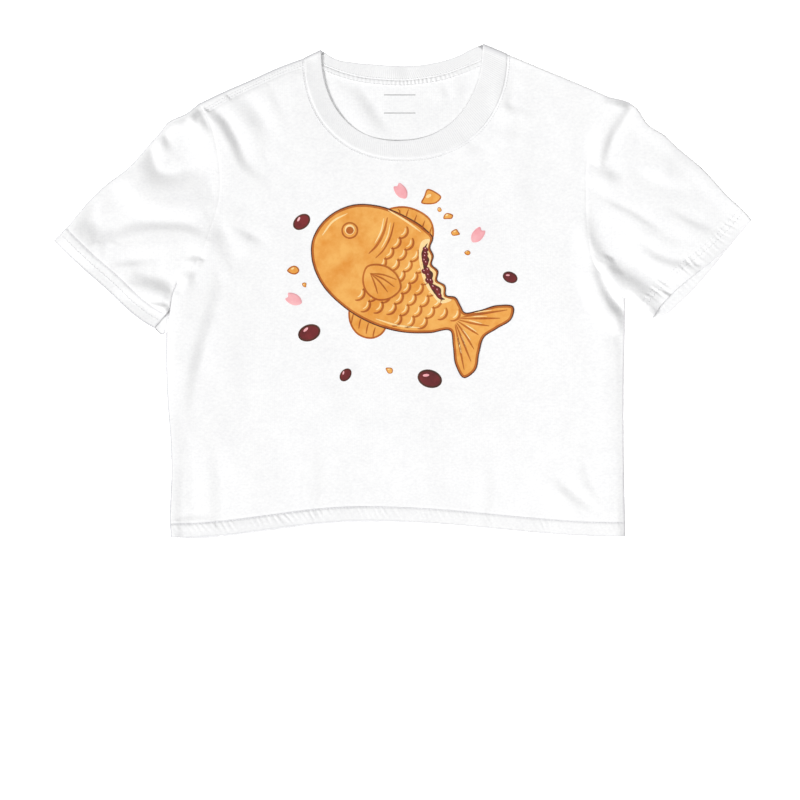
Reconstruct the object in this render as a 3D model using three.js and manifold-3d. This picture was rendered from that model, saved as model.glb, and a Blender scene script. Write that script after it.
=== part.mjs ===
// A cropped crew-neck T-shirt, laid flat on its back with the front up, as a group of its cut pieces:
// front panel, back panel, two set-in sleeves, neck rib and the tape inside the back neck.
// Millimetres, +Z up, +Y towards the neck. The origin is under the middle of the shirt's box, on the
// surface it lies on.
// "Left" and "right" are as seen from above with the neck at the top.

import * as THREE from "three";
import { mergeVertices } from "three/addons/utils/BufferGeometryUtils.js";
import Module from "manifold-3d";

// ---------------------------------------------------------------- driving dimensions

const JERSEY = 0.8; // thickness of the body and sleeve knit
const RIB = 1.6; // thickness of the neck rib, which is folded double
const TAPE = 0.5; // thickness of the tape inside the back neck
const AIR = 6.2; // room left between the two layers
const SEAM_GAP = 0.3; // clearance between pieces that are sewn together
const TAPE_WIDTH = 6;
const TAPE_INSET = 0.1; // share of the back neck left free at each end of the tape
const HEM_RISE = 17.5; // how far the middle of the hem lies above its corners
// How far the back panel comes over the left shoulder fold to its seam, at the sleeve and at the neck.
const SHOULDER_WRAP = { tip: 10.5, neck: 4 };

const BACK_Z = JERSEY / 2; // middle of the back layer
const FRONT_Z = JERSEY + AIR + JERSEY / 2; // middle of the front layer
const RIB_BACK_Z = RIB / 2;

// Plan of each half: the folded edges and the seams, as [x, y].
const LEFT = {
  neckTop: [-85.5, 252], // the opening's highest point
  shoulderNeck: [-103, 244], // where the shoulder fold meets the rib
  shoulderTip: [-214, 196],
  sleeveTop: [[-249, 173], [-287, 130], [-330, 92]],
  cuffTop: [-365.5, 53],
  cuffBottom: [-252.5, -46],
  sleeveUnderarm: [-244, 4],
  underarm: [-238.5, 4],
  armhole: [[-198, 160], [-191.5, 116], [-198, 70], [-213, 35]],
  side: [[-243, -60], [-243, -160]],
  hemCorner: [-240.5, -258],
  hemReach: 200, // from the hem's highest point to where it is level again
};
const RIGHT = {
  neckTop: [83.5, 258.5],
  shoulderNeck: [109, 248],
  shoulderTip: [216, 203],
  sleeveTop: [[240, 196], [257, 174], [314, 128]],
  cuffTop: [365.5, 74],
  cuffBottom: [260.5, -29],
  sleeveUnderarm: [236.5, -10.5],
  underarm: [232.5, -9],
  armhole: [[199, 160], [191, 110], [193, 60], [203, 15]],
  side: [[231.5, -90], [231.5, -170]],
  hemCorner: [232.5, -256.5],
  hemReach: 272,
};
const HEM_TOP_X = -40; // where the hem lies highest

// Neck opening: half of a superellipse for the front, a shallow curve for the back.
const NECK = {
  bow: 2.2, // exponent of the front curve: 2 is an ellipse, more is squarer
  innerDepth: 98,
  outerDepth: 108,
  innerBackDip: 20,
  outerBackDip: 26,
};

// Broad soft folds of the front layer: the crest's route, half width and height.
const FOLDS = [
  { route: [[-200, 182], [-180, 130], [-158, 104]], halfWidth: 22, height: 4.5 },
  { route: [[-330, 46], [-270, 68], [-212, 50]], halfWidth: 20, height: 4 },
  { route: [[-292, 118], [-250, 92], [-215, 106]], halfWidth: 20, height: 3.5 },
  { route: [[-204, 10], [-222, -56], [-230, -130]], halfWidth: 18, height: 4 },
  { route: [[228, 186], [204, 138], [214, 92]], halfWidth: 18, height: 3.5 },
  { route: [[204, 22], [232, -2], [274, -22]], halfWidth: 16, height: 3.5 },
  { route: [[196, 4], [214, -50], [218, -130]], halfWidth: 18, height: 3.5 },
  { route: [[286, 96], [314, 66], [330, 50]], halfWidth: 18, height: 2.5 },
  { route: [[30, -60], [44, -150], [40, -226]], halfWidth: 34, height: 2 },
  { route: [[-96, -40], [-84, -130], [-92, -220]], halfWidth: 36, height: 2 },
];
const FOLD_FADE = 26; // folds die away over this distance from a folded edge

// How finely the surfaces and lines are divided.
const ROLL_STEPS = 3; // per quarter turn of a folded edge
const FOLD_PIECES = 12;
const BODY_COLUMNS = 20;
const FRONT_ROWS = 24;
const BACK_ROWS = 9;
const SLEEVE_COLUMNS = 9;
const SLEEVE_ROWS = 8;
const RIB_FRONT_STATIONS = 30;
const RIB_BACK_STATIONS = 14;

// ---------------------------------------------------------------- plan helpers

const v2 = ([x, y]) => new THREE.Vector2(x, y);
const curve = (...points) => new THREE.SplineCurve(points.map(v2));
const range = (n) => Array.from({ length: n + 1 }, (_, i) => i / n);

// Runs several curves end to end.
function path(...curves) {
  const whole = new THREE.CurvePath();
  curves.forEach((c) => whole.add(c));
  return whole;
}

// The closed edges of one half, where the front layer folds round to the back, and its armhole seam.
const sleeveTop = (s) => curve(s.shoulderTip, ...s.sleeveTop, s.cuffTop);
const sleeveUnderside = (s) => curve(s.sleeveUnderarm, s.cuffBottom);
const topEdge = (s) => path(curve(s.neckTop, s.shoulderNeck, s.shoulderTip), sleeveTop(s));
const sideEdge = (s) => curve(s.hemCorner, ...s.side.toReversed(), s.underarm);
const armhole = (s) => curve(s.shoulderTip, ...s.armhole, s.underarm);
const outward = (s) => Math.sign(s.shoulderTip[0]);

// Short straight stretches of every closed edge, for measuring how far a point is from the nearest one.
const EDGE_PIECES = 40;
const foldedEdges = [LEFT, RIGHT]
  .flatMap((s) => [topEdge(s), sleeveUnderside(s), sideEdge(s)])
  .flatMap((c) => {
    const points = c.getPoints(EDGE_PIECES);
    return points.slice(1).map((p, i) => [points[i], p]);
  });

// Distance from point p to the stretch from a to b.
function distanceTo(p, a, b) {
  const along = b.clone().sub(a);
  const share = p.clone().sub(a).dot(along) / Math.max(along.lengthSq(), 1e-9);
  return p.distanceTo(a.clone().addScaledVector(along, THREE.MathUtils.clamp(share, 0, 1)));
}
const fromFoldedEdge = (p) => Math.min(...foldedEdges.map(([a, b]) => distanceTo(p, a, b)));

const foldCrests = FOLDS.map((f) => ({ ...f, points: curve(...f.route).getPoints(FOLD_PIECES) }));

// How far the soft folds lift the front layer at a point.
function foldLift(p, edgeDistance) {
  const fade = THREE.MathUtils.smoothstep(edgeDistance, 0, FOLD_FADE);
  const lifts = foldCrests.map(({ points, halfWidth, height }) => {
    const away = Math.min(...points.slice(1).map((q, i) => distanceTo(p, points[i], q)));
    return height * (1 - THREE.MathUtils.smoothstep(away, 0, halfWidth));
  });
  return fade * Math.max(...lifts);
}

// The middle of a layer at plan point p: level, and rolled round to mid-height at a folded edge.
// side is 1 for the front layer and -1 for the back; low and high are the two levels.
function onLayer(p, side, low = BACK_Z, high = FRONT_Z) {
  const radius = (high - low) / 2;
  const edge = fromFoldedEdge(p);
  const across = 1 - Math.min(edge / radius, 1);
  const z = (high + low) / 2 + side * radius * Math.sqrt(1 - across * across);
  return new THREE.Vector3(p.x, p.y, z + (side > 0 ? foldLift(p, edge) : 0));
}

// Distances from a folded edge, spaced evenly round its quarter turn. The first leaves room for the seam.
function rollDistances(radius) {
  const first = SEAM_GAP / 2 / radius;
  return range(ROLL_STEPS).map((k) => radius * (1 - Math.cos(first + (k * (Math.PI - 2 * first)) / 2)));
}

// ---------------------------------------------------------------- solids from surfaces

// Thickens a grid of points into a closed solid. Rows may close on themselves, as round a sleeve.
function thicken(grid, thickness, closed = false) {
  const rows = grid.length;
  const columns = grid[0].length;
  const column = (i) => (closed ? (i + columns) % columns : THREE.MathUtils.clamp(i, 0, columns - 1));
  const at = (j, i) => grid[j][column(i)];
  const positions = [];
  for (const side of [1, -1]) {
    for (let j = 0; j < rows; j++) {
      for (let i = 0; i < columns; i++) {
        const across = at(j, i + 1).clone().sub(at(j, i - 1));
        const along = at(Math.min(j + 1, rows - 1), i).clone().sub(at(Math.max(j - 1, 0), i));
        const normal = across.cross(along).normalize();
        positions.push(...at(j, i).clone().addScaledVector(normal, (side * thickness) / 2).toArray());
      }
    }
  }
  const id = (layer, j, i) => layer * rows * columns + j * columns + (i % columns);
  const triangles = [];
  const quad = (a, b, c, d) => triangles.push(a, b, c, a, c, d);
  const lastColumn = closed ? columns : columns - 1;
  for (let j = 0; j < rows - 1; j++) {
    for (let i = 0; i < lastColumn; i++) {
      quad(id(0, j, i), id(0, j, i + 1), id(0, j + 1, i + 1), id(0, j + 1, i));
      quad(id(1, j, i), id(1, j + 1, i), id(1, j + 1, i + 1), id(1, j, i + 1));
    }
  }
  for (let i = 0; i < lastColumn; i++) {
    quad(id(0, 0, i), id(1, 0, i), id(1, 0, i + 1), id(0, 0, i + 1));
    quad(id(0, rows - 1, i), id(0, rows - 1, i + 1), id(1, rows - 1, i + 1), id(1, rows - 1, i));
  }
  if (!closed) {
    for (let j = 0; j < rows - 1; j++) {
      quad(id(0, j, 0), id(0, j + 1, 0), id(1, j + 1, 0), id(1, j, 0));
      const end = columns - 1;
      quad(id(0, j, end), id(1, j, end), id(1, j + 1, end), id(0, j + 1, end));
    }
  }
  const geometry = new THREE.BufferGeometry();
  geometry.setAttribute("position", new THREE.Float32BufferAttribute(positions, 3));
  geometry.setIndex(triangles);
  return geometry;
}

const wasm = await Module();
wasm.setup();

function toSolid(geometry) {
  const bare = geometry.clone();
  ["normal", "uv"].forEach((name) => bare.deleteAttribute(name));
  const merged = mergeVertices(bare, 1e-4);
  return new wasm.Manifold(
    new wasm.Mesh({
      numProp: 3,
      vertProperties: merged.attributes.position.array,
      triVerts: new Uint32Array(merged.index.array),
    }),
  );
}

function toGeometry(solid) {
  const { vertProperties, triVerts, numProp } = solid.getMesh();
  const geometry = new THREE.BufferGeometry();
  const buffer = new THREE.InterleavedBuffer(vertProperties, numProp);
  geometry.setAttribute("position", new THREE.InterleavedBufferAttribute(buffer, 3, 0));
  geometry.setIndex(new THREE.BufferAttribute(triVerts, 1));
  return geometry;
}

// An upright prism over a plan outline, from height low to height high, for cutting.
function prism(outline, low, high) {
  const geometry = new THREE.ExtrudeGeometry(new THREE.Shape(outline), {
    depth: high - low,
    bevelEnabled: false,
  });
  return toSolid(geometry.translate(0, 0, low));
}

// ---------------------------------------------------------------- neck curves

const ends = { inner: [LEFT.neckTop, RIGHT.neckTop], outer: [LEFT.shoulderNeck, RIGHT.shoulderNeck] };

// A point on the neck's inner or outer line at share t from its left end to its right.
function neckPoint(which, t, front) {
  const [a, b] = ends[which].map(v2);
  const depth = NECK[which + (front ? "Depth" : "BackDip")];
  const swing = 2 * t - 1;
  // The front runs evenly round its bow, so its share of the width follows the angle.
  const angle = (swing * Math.PI) / 2;
  const width = front ? Math.sign(angle) * Math.abs(Math.sin(angle)) ** (2 / NECK.bow) : swing;
  const drop = front ? Math.cos(angle) ** (2 / NECK.bow) : 1 - Math.abs(swing) ** 2;
  const x = THREE.MathUtils.lerp(a.x, b.x, (width + 1) / 2);
  const y = THREE.MathUtils.lerp(a.y, b.y, (width + 1) / 2);
  return new THREE.Vector2(x, y - depth * drop);
}

const NECK_CUT_POINTS = 48;
const FAR = 500; // a distance beyond everything

// The plan area inside a neck line, moved out by the seam clearance, and on past the shirt's top edge.
function neckOutline(front) {
  const middle = (LEFT.shoulderNeck[0] + RIGHT.shoulderNeck[0]) / 2;
  const line = range(NECK_CUT_POINTS).map((t) => {
    const p = neckPoint("outer", t, front);
    const out = new THREE.Vector2(front ? p.x - middle : 0, front ? p.y - RIGHT.shoulderNeck[1] : -1);
    return p.addScaledVector(out.normalize(), SEAM_GAP);
  });
  const last = line[line.length - 1];
  return [...line, new THREE.Vector2(last.x, FAR), new THREE.Vector2(line[0].x, FAR)];
}

// ---------------------------------------------------------------- cutting lines

const MIDDLE_Z = (FRONT_Z + BACK_Z) / 2; // height of the folded edges
const SEAM_OVERRUN = 3; // the body is made this much too wide at the armholes, and cut back to the seam
const rolls = rollDistances((FRONT_Z - BACK_Z) / 2);

// Evenly spaced shares from 0 to 1, with more of them close to both ends, round the folded edges.
function foldedShares(count, size) {
  const near = rolls.map((d) => d / size);
  const start = near[ROLL_STEPS];
  const inside = range(count).slice(1, -1).map((t) => THREE.MathUtils.lerp(start, 1 - start, t));
  return [...near, ...inside, ...near.map((t) => 1 - t).reverse()];
}

// The armhole seam as the sleeve's own stations, so that body and sleeve meet along one line.
const sleeveShares = foldedShares(SLEEVE_COLUMNS, armhole(LEFT).getLength());
const LAST_INSIDE = sleeveShares[sleeveShares.length - 2 - ROLL_STEPS];
// The cuff's stations lie higher than the seam's, so that the lines between them clear the underarm.
const CUFF_SQUEEZE = 0.87;
const shifted = (p, s, distance) => new THREE.Vector2(p.x + outward(s) * distance, p.y);
const armholeLine = (s, distance) =>
  sleeveShares.map((w) => shifted(armhole(s).getPoint(w), s, distance));

// Everything on the sleeve's side of the armhole seam.
function outsideArmhole(s) {
  const line = armholeLine(s, 0);
  const far = outward(s) * FAR;
  return prism([...line, v2([far, s.underarm[1]]), v2([far, FAR]), v2([line[0].x, FAR])], -FAR, FAR);
}

const SEAM_ENDS = 50; // how far the cut along the shoulder seam runs on past its ends
const SEAM_REACH = 100; // and how far it reaches to one side

// The left shoulder seam lies on the front, below the fold. This is all that lies above it, or all below.
function besideShoulderSeam(above) {
  const [tip, neck] = [v2(LEFT.shoulderTip), v2(LEFT.shoulderNeck)];
  const along = neck.clone().sub(tip).normalize();
  const down = new THREE.Vector2(along.y, -along.x);
  const gap = above ? SEAM_GAP : 0;
  const a = tip.clone().addScaledVector(down, SHOULDER_WRAP.tip + gap).addScaledVector(along, -SEAM_ENDS);
  const b = neck.clone().addScaledVector(down, SHOULDER_WRAP.neck + gap).addScaledVector(along, SEAM_ENDS);
  const reach = above ? -SEAM_REACH : SEAM_REACH;
  const [farEnd, nearEnd] = [b, a].map((p) => p.clone().addScaledVector(down, reach));
  return prism([a, b, farEnd, nearEnd], MIDDLE_Z, FAR);
}

// ---------------------------------------------------------------- body panels

// The hem line at a share of its width.
function hemPoint(u) {
  const x = THREE.MathUtils.lerp(LEFT.hemCorner[0], RIGHT.hemCorner[0], u);
  const level = THREE.MathUtils.lerp(LEFT.hemCorner[1], RIGHT.hemCorner[1], u);
  const reach = x < HEM_TOP_X ? LEFT.hemReach : RIGHT.hemReach;
  const swing = Math.min(Math.abs(x - HEM_TOP_X) / reach, 1);
  return new THREE.Vector2(x, level + (HEM_RISE * (1 + Math.cos(Math.PI * swing))) / 2);
}

// The body's outline beyond the seams: the shoulder folds run on past the armholes, and so do the sides.
const shoulderEnd = (s) =>
  v2(s.shoulderTip).add(v2(s.shoulderTip).sub(v2(s.shoulderNeck)).setLength(SEAM_OVERRUN));
const topPoints = [shoulderEnd(LEFT), v2(LEFT.shoulderNeck), v2(RIGHT.shoulderNeck), shoulderEnd(RIGHT)];
const FLANK_PIECES = 40;
const flanks = [LEFT, RIGHT].map((s) => [
  ...sideEdge(s).getPoints(FLANK_PIECES),
  ...armholeLine(s, SEAM_OVERRUN).reverse().slice(1, -1),
  shoulderEnd(s),
]);

// The point of a line that has gone a share of the way in x or in y.
function atShare(points, axis, share) {
  const target = THREE.MathUtils.lerp(points[0][axis], points[points.length - 1][axis], share);
  const i = points.findIndex((p, k) => k > 0 && p[axis] >= target - 1e-9);
  const [a, b] = [points[i - 1], points[i]];
  return a.clone().lerp(b, THREE.MathUtils.clamp((target - a[axis]) / (b[axis] - a[axis]), 0, 1));
}

// A plan patch between four border lines, each met exactly at its own edge.
function patch([bottom, top], [left, right], [u, v]) {
  const blend = (a, b, t) => a.clone().lerp(b, t);
  const corners = blend(blend(bottom(0), bottom(1), u), blend(top(0), top(1), u), v);
  return blend(bottom(u), top(u), v).add(blend(left(v), right(v), u)).sub(corners);
}

// A point of the body's plan: u runs from the left to the right, v from the hem to the shoulders.
const bodyPlan = (u, v) =>
  patch(
    [hemPoint, (t) => atShare(topPoints, "x", t)],
    flanks.map((line) => (t) => atShare(line, "y", t)),
    [u, v],
  );

// Shares across and along the body, close together round the folded edges.
const BODY_WIDTH = RIGHT.underarm[0] - LEFT.underarm[0];
const BODY_LENGTH = LEFT.shoulderTip[1] - LEFT.hemCorner[1];

function bodyShares(columns, rows) {
  const nearTop = rolls.map((d) => 1 - d / BODY_LENGTH).reverse();
  const below = range(rows).slice(0, -1).map((t) => t * nearTop[0]);
  return { across: foldedShares(columns, BODY_WIDTH), along: [...below, ...nearTop] };
}

// Everything to the right of x, between two heights.
function rightOf(x, low, high) {
  const corners = [[x, -FAR], [FAR, -FAR], [FAR, FAR], [x, FAR]];
  return prism(corners.map(v2), low, high);
}

function frontPanel() {
  const { across, along } = bodyShares(BODY_COLUMNS, FRONT_ROWS);
  const grid = along.map((v) => across.map((u) => onLayer(bodyPlan(u, v), 1)));
  return toSolid(thicken(grid, JERSEY))
    .subtract(rightOf(-FAR, -FAR, MIDDLE_Z + SEAM_GAP / 2))
    .subtract(outsideArmhole(LEFT))
    .subtract(outsideArmhole(RIGHT))
    .subtract(prism(neckOutline(true), -FAR, FAR))
    .subtract(besideShoulderSeam(true));
}

const WRAP_END = 10; // how far inside the neck the turned-over shoulder runs before the neckline cuts it

// The back panel also turns over the left shoulder fold, where its seam lies on the front.
function backPanel() {
  const { across, along } = bodyShares(BODY_COLUMNS / 2, BACK_ROWS);
  const under = along.map((v) => across.map((u) => onLayer(bodyPlan(u, v), -1)));
  const reach = 1 - (SHOULDER_WRAP.tip + 2 * SEAM_OVERRUN) / BODY_LENGTH;
  const wrapShares = [...along.slice(-1 - ROLL_STEPS, -1).reverse(), reach];
  const over = wrapShares.map((v) => across.map((u) => onLayer(bodyPlan(u, v), 1)));
  return toSolid(thicken([...under, ...over], JERSEY))
    .subtract(rightOf(LEFT.shoulderNeck[0] + WRAP_END, MIDDLE_Z - SEAM_GAP / 2, FAR))
    .subtract(besideShoulderSeam(false))
    .subtract(outsideArmhole(LEFT))
    .subtract(outsideArmhole(RIGHT))
    .subtract(prism(neckOutline(true), MIDDLE_Z, FAR))
    .subtract(prism(neckOutline(false), -FAR, MIDDLE_Z + SEAM_GAP));
}

// ---------------------------------------------------------------- sleeves

const SLANT = 1.3; // the sleeve stands this much further off where its seam slants

// One sleeve: round it from the top fold down the front and back up the back, and along it to the cuff.
function sleeve(s) {
  const seam = curve(s.shoulderTip, ...s.armhole, s.sleeveUnderarm);
  const cuff = new THREE.LineCurve(v2(s.cuffTop), v2(s.cuffBottom));
  const clearance = SEAM_GAP * SLANT;
  const cuffShare = (w) => (w > LAST_INSIDE ? w : w * CUFF_SQUEEZE);
  const edge = (line) => (t) => shifted(line.getPointAt(t), s, clearance * (1 - t));
  const borders = [
    [sleeveTop(s), sleeveUnderside(s)].map(edge),
    [(t) => shifted(seam.getPoint(t), s, clearance), (t) => cuff.getPoint(cuffShare(t))],
  ];
  const grid = range(SLEEVE_ROWS).map((v) => {
    const plan = sleeveShares.map((w) => patch(...borders, [v, w]));
    const front = plan.map((p) => onLayer(p, 1));
    const back = plan.slice(1, -1).reverse().map((p) => onLayer(p, -1));
    [front[0], front[front.length - 1]].forEach((fold) => (fold.z = MIDDLE_Z));
    return s === RIGHT ? [...front, ...back].reverse() : [...front, ...back];
  });
  return toSolid(thicken(grid, JERSEY, true));
}

// ---------------------------------------------------------------- neck rib and tape

// The rib is one closed band: round the front of the neck, over the right fold, along the back and over the
// left fold.
function neckRib() {
  const spaced = (n) => range(n).map((t) => (1 - Math.cos(Math.PI * t)) / 2);
  const stations = [
    ...range(RIB_FRONT_STATIONS).map((t) => [t, true]),
    ...spaced(RIB_BACK_STATIONS).slice(1, -1).reverse().map((t) => [t, false]),
  ];
  const middle = (FRONT_Z + RIB_BACK_Z) / 2;
  const grid = [0, 0.5, 1].map((across) =>
    stations.map(([t, front]) => {
      const p = neckPoint("inner", t, front).lerp(neckPoint("outer", t, front), across);
      const point = onLayer(p, front ? 1 : -1, RIB_BACK_Z, FRONT_Z);
      if (front && (t === 0 || t === 1)) point.z = middle;
      return point;
    }),
  );
  return toSolid(thicken(grid, RIB, true));
}

// A narrow strip over the seam inside the back neck.
function neckTape() {
  const z = JERSEY + SEAM_GAP + TAPE / 2;
  const shares = range(RIB_BACK_STATIONS).map((t) => THREE.MathUtils.lerp(TAPE_INSET, 1 - TAPE_INSET, t));
  const line = shares.map((t) => neckPoint("outer", t, false));
  const grid = [1, 0].map((low) =>
    line.map((p) => new THREE.Vector3(p.x, p.y - 2 * SEAM_GAP - low * TAPE_WIDTH, z)),
  );
  return toSolid(thicken(grid, TAPE));
}

// ---------------------------------------------------------------- the shirt

const material = (color, roughness) => new THREE.MeshStandardMaterial({ color, roughness, metalness: 0 });
const whiteJersey = material(0xfafafa, 0.95);
const whiteRib = material(0xf6f6f6, 0.95);
const whiteTape = material(0xf2f2f2, 0.9);

const shirt = new THREE.Group();
function piece(name, solid, finish) {
  const mesh = new THREE.Mesh(toGeometry(solid), finish);
  mesh.name = name;
  shirt.add(mesh);
}
piece("front_panel", frontPanel(), whiteJersey);
piece("back_panel", backPanel(), whiteJersey);
piece("sleeve_left", sleeve(LEFT), whiteJersey);
piece("sleeve_right", sleeve(RIGHT), whiteJersey);
piece("neck_rib", neckRib(), whiteRib);
piece("neck_tape", neckTape(), whiteTape);

const box = new THREE.Box3().setFromObject(shirt);
const centre = box.getCenter(new THREE.Vector3());
shirt.position.set(-centre.x, -centre.y, -box.min.z);

export default shirt;
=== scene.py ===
"""A white cropped T-shirt, laid flat with its front up: cloth sheets with turned hems, a double neck rib,
sewing thread and a screen print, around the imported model."""

import math

import bmesh
import bpy
import numpy as np
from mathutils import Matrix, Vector
from mathutils.geometry import delaunay_2d_cdt


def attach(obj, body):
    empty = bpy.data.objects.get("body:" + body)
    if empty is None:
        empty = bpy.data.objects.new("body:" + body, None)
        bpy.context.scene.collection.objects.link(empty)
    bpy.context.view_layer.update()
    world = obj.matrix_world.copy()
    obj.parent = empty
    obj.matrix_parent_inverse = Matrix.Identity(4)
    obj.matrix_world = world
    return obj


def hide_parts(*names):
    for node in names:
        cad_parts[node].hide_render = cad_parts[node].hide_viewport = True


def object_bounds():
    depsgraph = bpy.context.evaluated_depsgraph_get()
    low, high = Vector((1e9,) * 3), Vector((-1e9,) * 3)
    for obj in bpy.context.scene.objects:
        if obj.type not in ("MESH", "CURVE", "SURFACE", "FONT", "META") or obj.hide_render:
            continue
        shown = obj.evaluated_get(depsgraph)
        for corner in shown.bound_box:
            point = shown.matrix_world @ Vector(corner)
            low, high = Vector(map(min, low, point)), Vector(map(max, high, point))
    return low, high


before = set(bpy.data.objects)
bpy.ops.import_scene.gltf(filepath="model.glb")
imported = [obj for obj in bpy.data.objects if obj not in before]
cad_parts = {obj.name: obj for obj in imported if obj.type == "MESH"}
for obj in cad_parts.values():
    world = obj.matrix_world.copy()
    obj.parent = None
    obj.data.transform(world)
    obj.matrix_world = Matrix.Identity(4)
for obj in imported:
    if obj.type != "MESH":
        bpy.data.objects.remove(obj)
cad_low, cad_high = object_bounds()

# ---------------------------------------------------------------- sizes, in millimetres

DRAWN_WIDTH = 731.6  # cuff to cuff, as the lines below are drawn
MM = (cad_high.x - cad_low.x) / DRAWN_WIDTH  # metres for each drawn millimetre
ORIGIN = np.array([(cad_low.x + cad_high.x) / 2, (cad_low.y + cad_high.y) / 2, cad_low.z])

BACK_LEVEL = 0.5  # height of the back layer
FRONT_LEVEL = 7.4  # height of the front layer where the air lifts it most
ROLL = 2.0  # how far in from a folded edge the cloth has turned level
HEM_DEPTH = 14.5
CUFF_DEPTH = 18.0
TURN = 0.75  # radius of the turned edge of a hem
RIB_WIDTH = 18.7
RIB_HALF = 0.6  # half the thickness of the doubled rib
RIB_PITCH = 2.3  # from one rib to the next
EDGE_STEP = 2.0  # spacing of points along folded edges
SEAM_STEP = 1.3  # along seams and hems
COARSE = 2.5  # in open cloth
FINE = 1.35  # and in cloth beside seams and hems


# ---------------------------------------------------------------- drawing in plan

def ease(x, start, end):
    """0 before start, 1 after end, smooth between. End may be the lower of the two."""
    t = np.clip((x - start) / (end - start), 0, 1)
    return t * t * (3 - 2 * t)


def swell(x, width):
    """1 at 0, falling away smoothly on both sides."""
    return np.exp(-((x / width) ** 2))


def run_along(line):
    """How far along the line each of its points is."""
    return np.r_[0, np.cumsum(np.linalg.norm(np.diff(line, axis=0), axis=1))]


def headings(line):
    """Unit direction of travel at each point of a line."""
    along = np.gradient(line, axis=0)
    return along / np.linalg.norm(along, axis=1)[:, None]


def left_of(way):
    """Each direction turned a quarter to the left."""
    return np.stack([-way[:, 1], way[:, 0]], 1)


def even(points, step):
    """The same line with its points an even step apart."""
    points = np.asarray(points, float)
    run = run_along(points)
    at = np.linspace(0, run[-1], max(2, round(run[-1] / step) + 1))
    return np.stack([np.interp(at, run, column) for column in points.T], 1)


def curve(points, step=EDGE_STEP):
    """A smooth line through the points."""
    p = np.asarray(points, float)
    if len(p) < 3:
        return even(p, step)
    t = run_along(p)
    slope = np.gradient(p, t, axis=0)
    at = np.linspace(0, t[-1], int(t[-1] / 0.5) + 8)
    i = np.clip(np.searchsorted(t, at, side="right") - 1, 0, len(t) - 2)
    gap = (t[i + 1] - t[i])[:, None]
    u = (at - t[i])[:, None] / gap
    line = (
        (1 + 2 * u) * (1 - u) ** 2 * p[i]
        + u * (1 - u) ** 2 * gap * slope[i]
        + u * u * (3 - 2 * u) * p[i + 1]
        + u * u * (u - 1) * gap * slope[i + 1]
    )
    return even(line, step)


def join(*lines):
    """Lines end to end as one, without doubled points."""
    whole = np.vstack(lines)
    keep = np.r_[True, np.linalg.norm(np.diff(whole, axis=0), axis=1) > 0.02]
    whole = whole[keep]
    return whole[:-1] if np.linalg.norm(whole[0] - whole[-1]) < 0.02 else whole


def offset(line, distance):
    """The line moved to its left by the distance."""
    return line + distance * left_of(headings(line))


def nearest(points, line):
    """For each point its distance to the line, the same signed (positive to the right of travel), how far
    along the line the nearest place is, and how far past the line's ends the point lies."""
    start, step = line[:-1], np.diff(line, axis=0)
    length = np.linalg.norm(step, axis=1)
    run = run_along(line)[:-1]
    short = np.float32  # the search itself is quicker in short numbers
    sx, sy, dx, dy = (v.astype(short) for v in (*start.T, *step.T))
    square = (length**2).astype(short)
    pick = np.empty(len(points), int)
    for i in range(0, len(points), 4000):
        x, y = (points[i : i + 4000, k].astype(short)[:, None] for k in (0, 1))
        x, y = x - sx, y - sy
        held = np.clip((x * dx + y * dy) / square, 0, 1)
        x -= held * dx
        y -= held * dy
        pick[i : i + 4000] = (x * x + y * y).argmin(1)
    away, way = points - start[pick], step[pick]
    share = (away * way).sum(1) / length[pick] ** 2
    held = np.clip(share, 0, 1)
    apart = np.linalg.norm(away - held[:, None] * way, axis=1)
    side = np.sign(way[:, 1] * away[:, 0] - way[:, 0] * away[:, 1])
    ends = (pick == 0) & (share < 0) | (pick == len(step) - 1) & (share > 1)
    past = np.maximum(-share, share - 1) * length[pick] * ends
    return apart, side * apart, run[pick] + held * length[pick], past


NEAR = 12.0  # distances are measured exactly within this


def distance(points, lines):
    """How far each point is from the nearest of the lines, roughly where that is far."""
    thinned = [line[[*range(0, len(line) - 1, 5), -1]] for line in lines]
    rough = np.min([nearest(points, line)[0] for line in thinned], axis=0)
    close = rough < NEAR
    if close.any():
        rough[close] = np.min([nearest(points[close], line)[0] for line in lines], axis=0)
    return rough


def near_to(points, lines, start, end):
    """1 up to start from the lines, 0 beyond end, smooth between."""
    return 1 - ease(distance(points, lines), start, end)


def signed_area(loop):
    """Area that a closed loop holds, positive where it runs to the left round it."""
    ahead = np.roll(loop, -1, axis=0)
    return (loop[:, 0] * ahead[:, 1] - ahead[:, 0] * loop[:, 1]).sum() / 2


def within(points, loop):
    """Whether each point lies inside the closed loop."""
    a, b = loop, np.roll(loop, -1, axis=0)
    inside = np.zeros(len(points), bool)
    for i in range(0, len(points), 8000):
        x, y = points[i : i + 8000, 0][:, None], points[i : i + 8000, 1][:, None]
        spans = (a[:, 1] > y) != (b[:, 1] > y)
        rise = np.where(b[:, 1] == a[:, 1], 1, b[:, 1] - a[:, 1])
        crosses = spans & (x < (b[:, 0] - a[:, 0]) * (y - a[:, 1]) / rise + a[:, 0])
        inside[i : i + 8000] = crosses.sum(1) % 2 == 1
    return inside


# ---------------------------------------------------------------- outlines of the laid shirt

LEFT_CORNER, RIGHT_CORNER = (-243, -258.6), (233.2, -257.2)  # of the front hem

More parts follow.
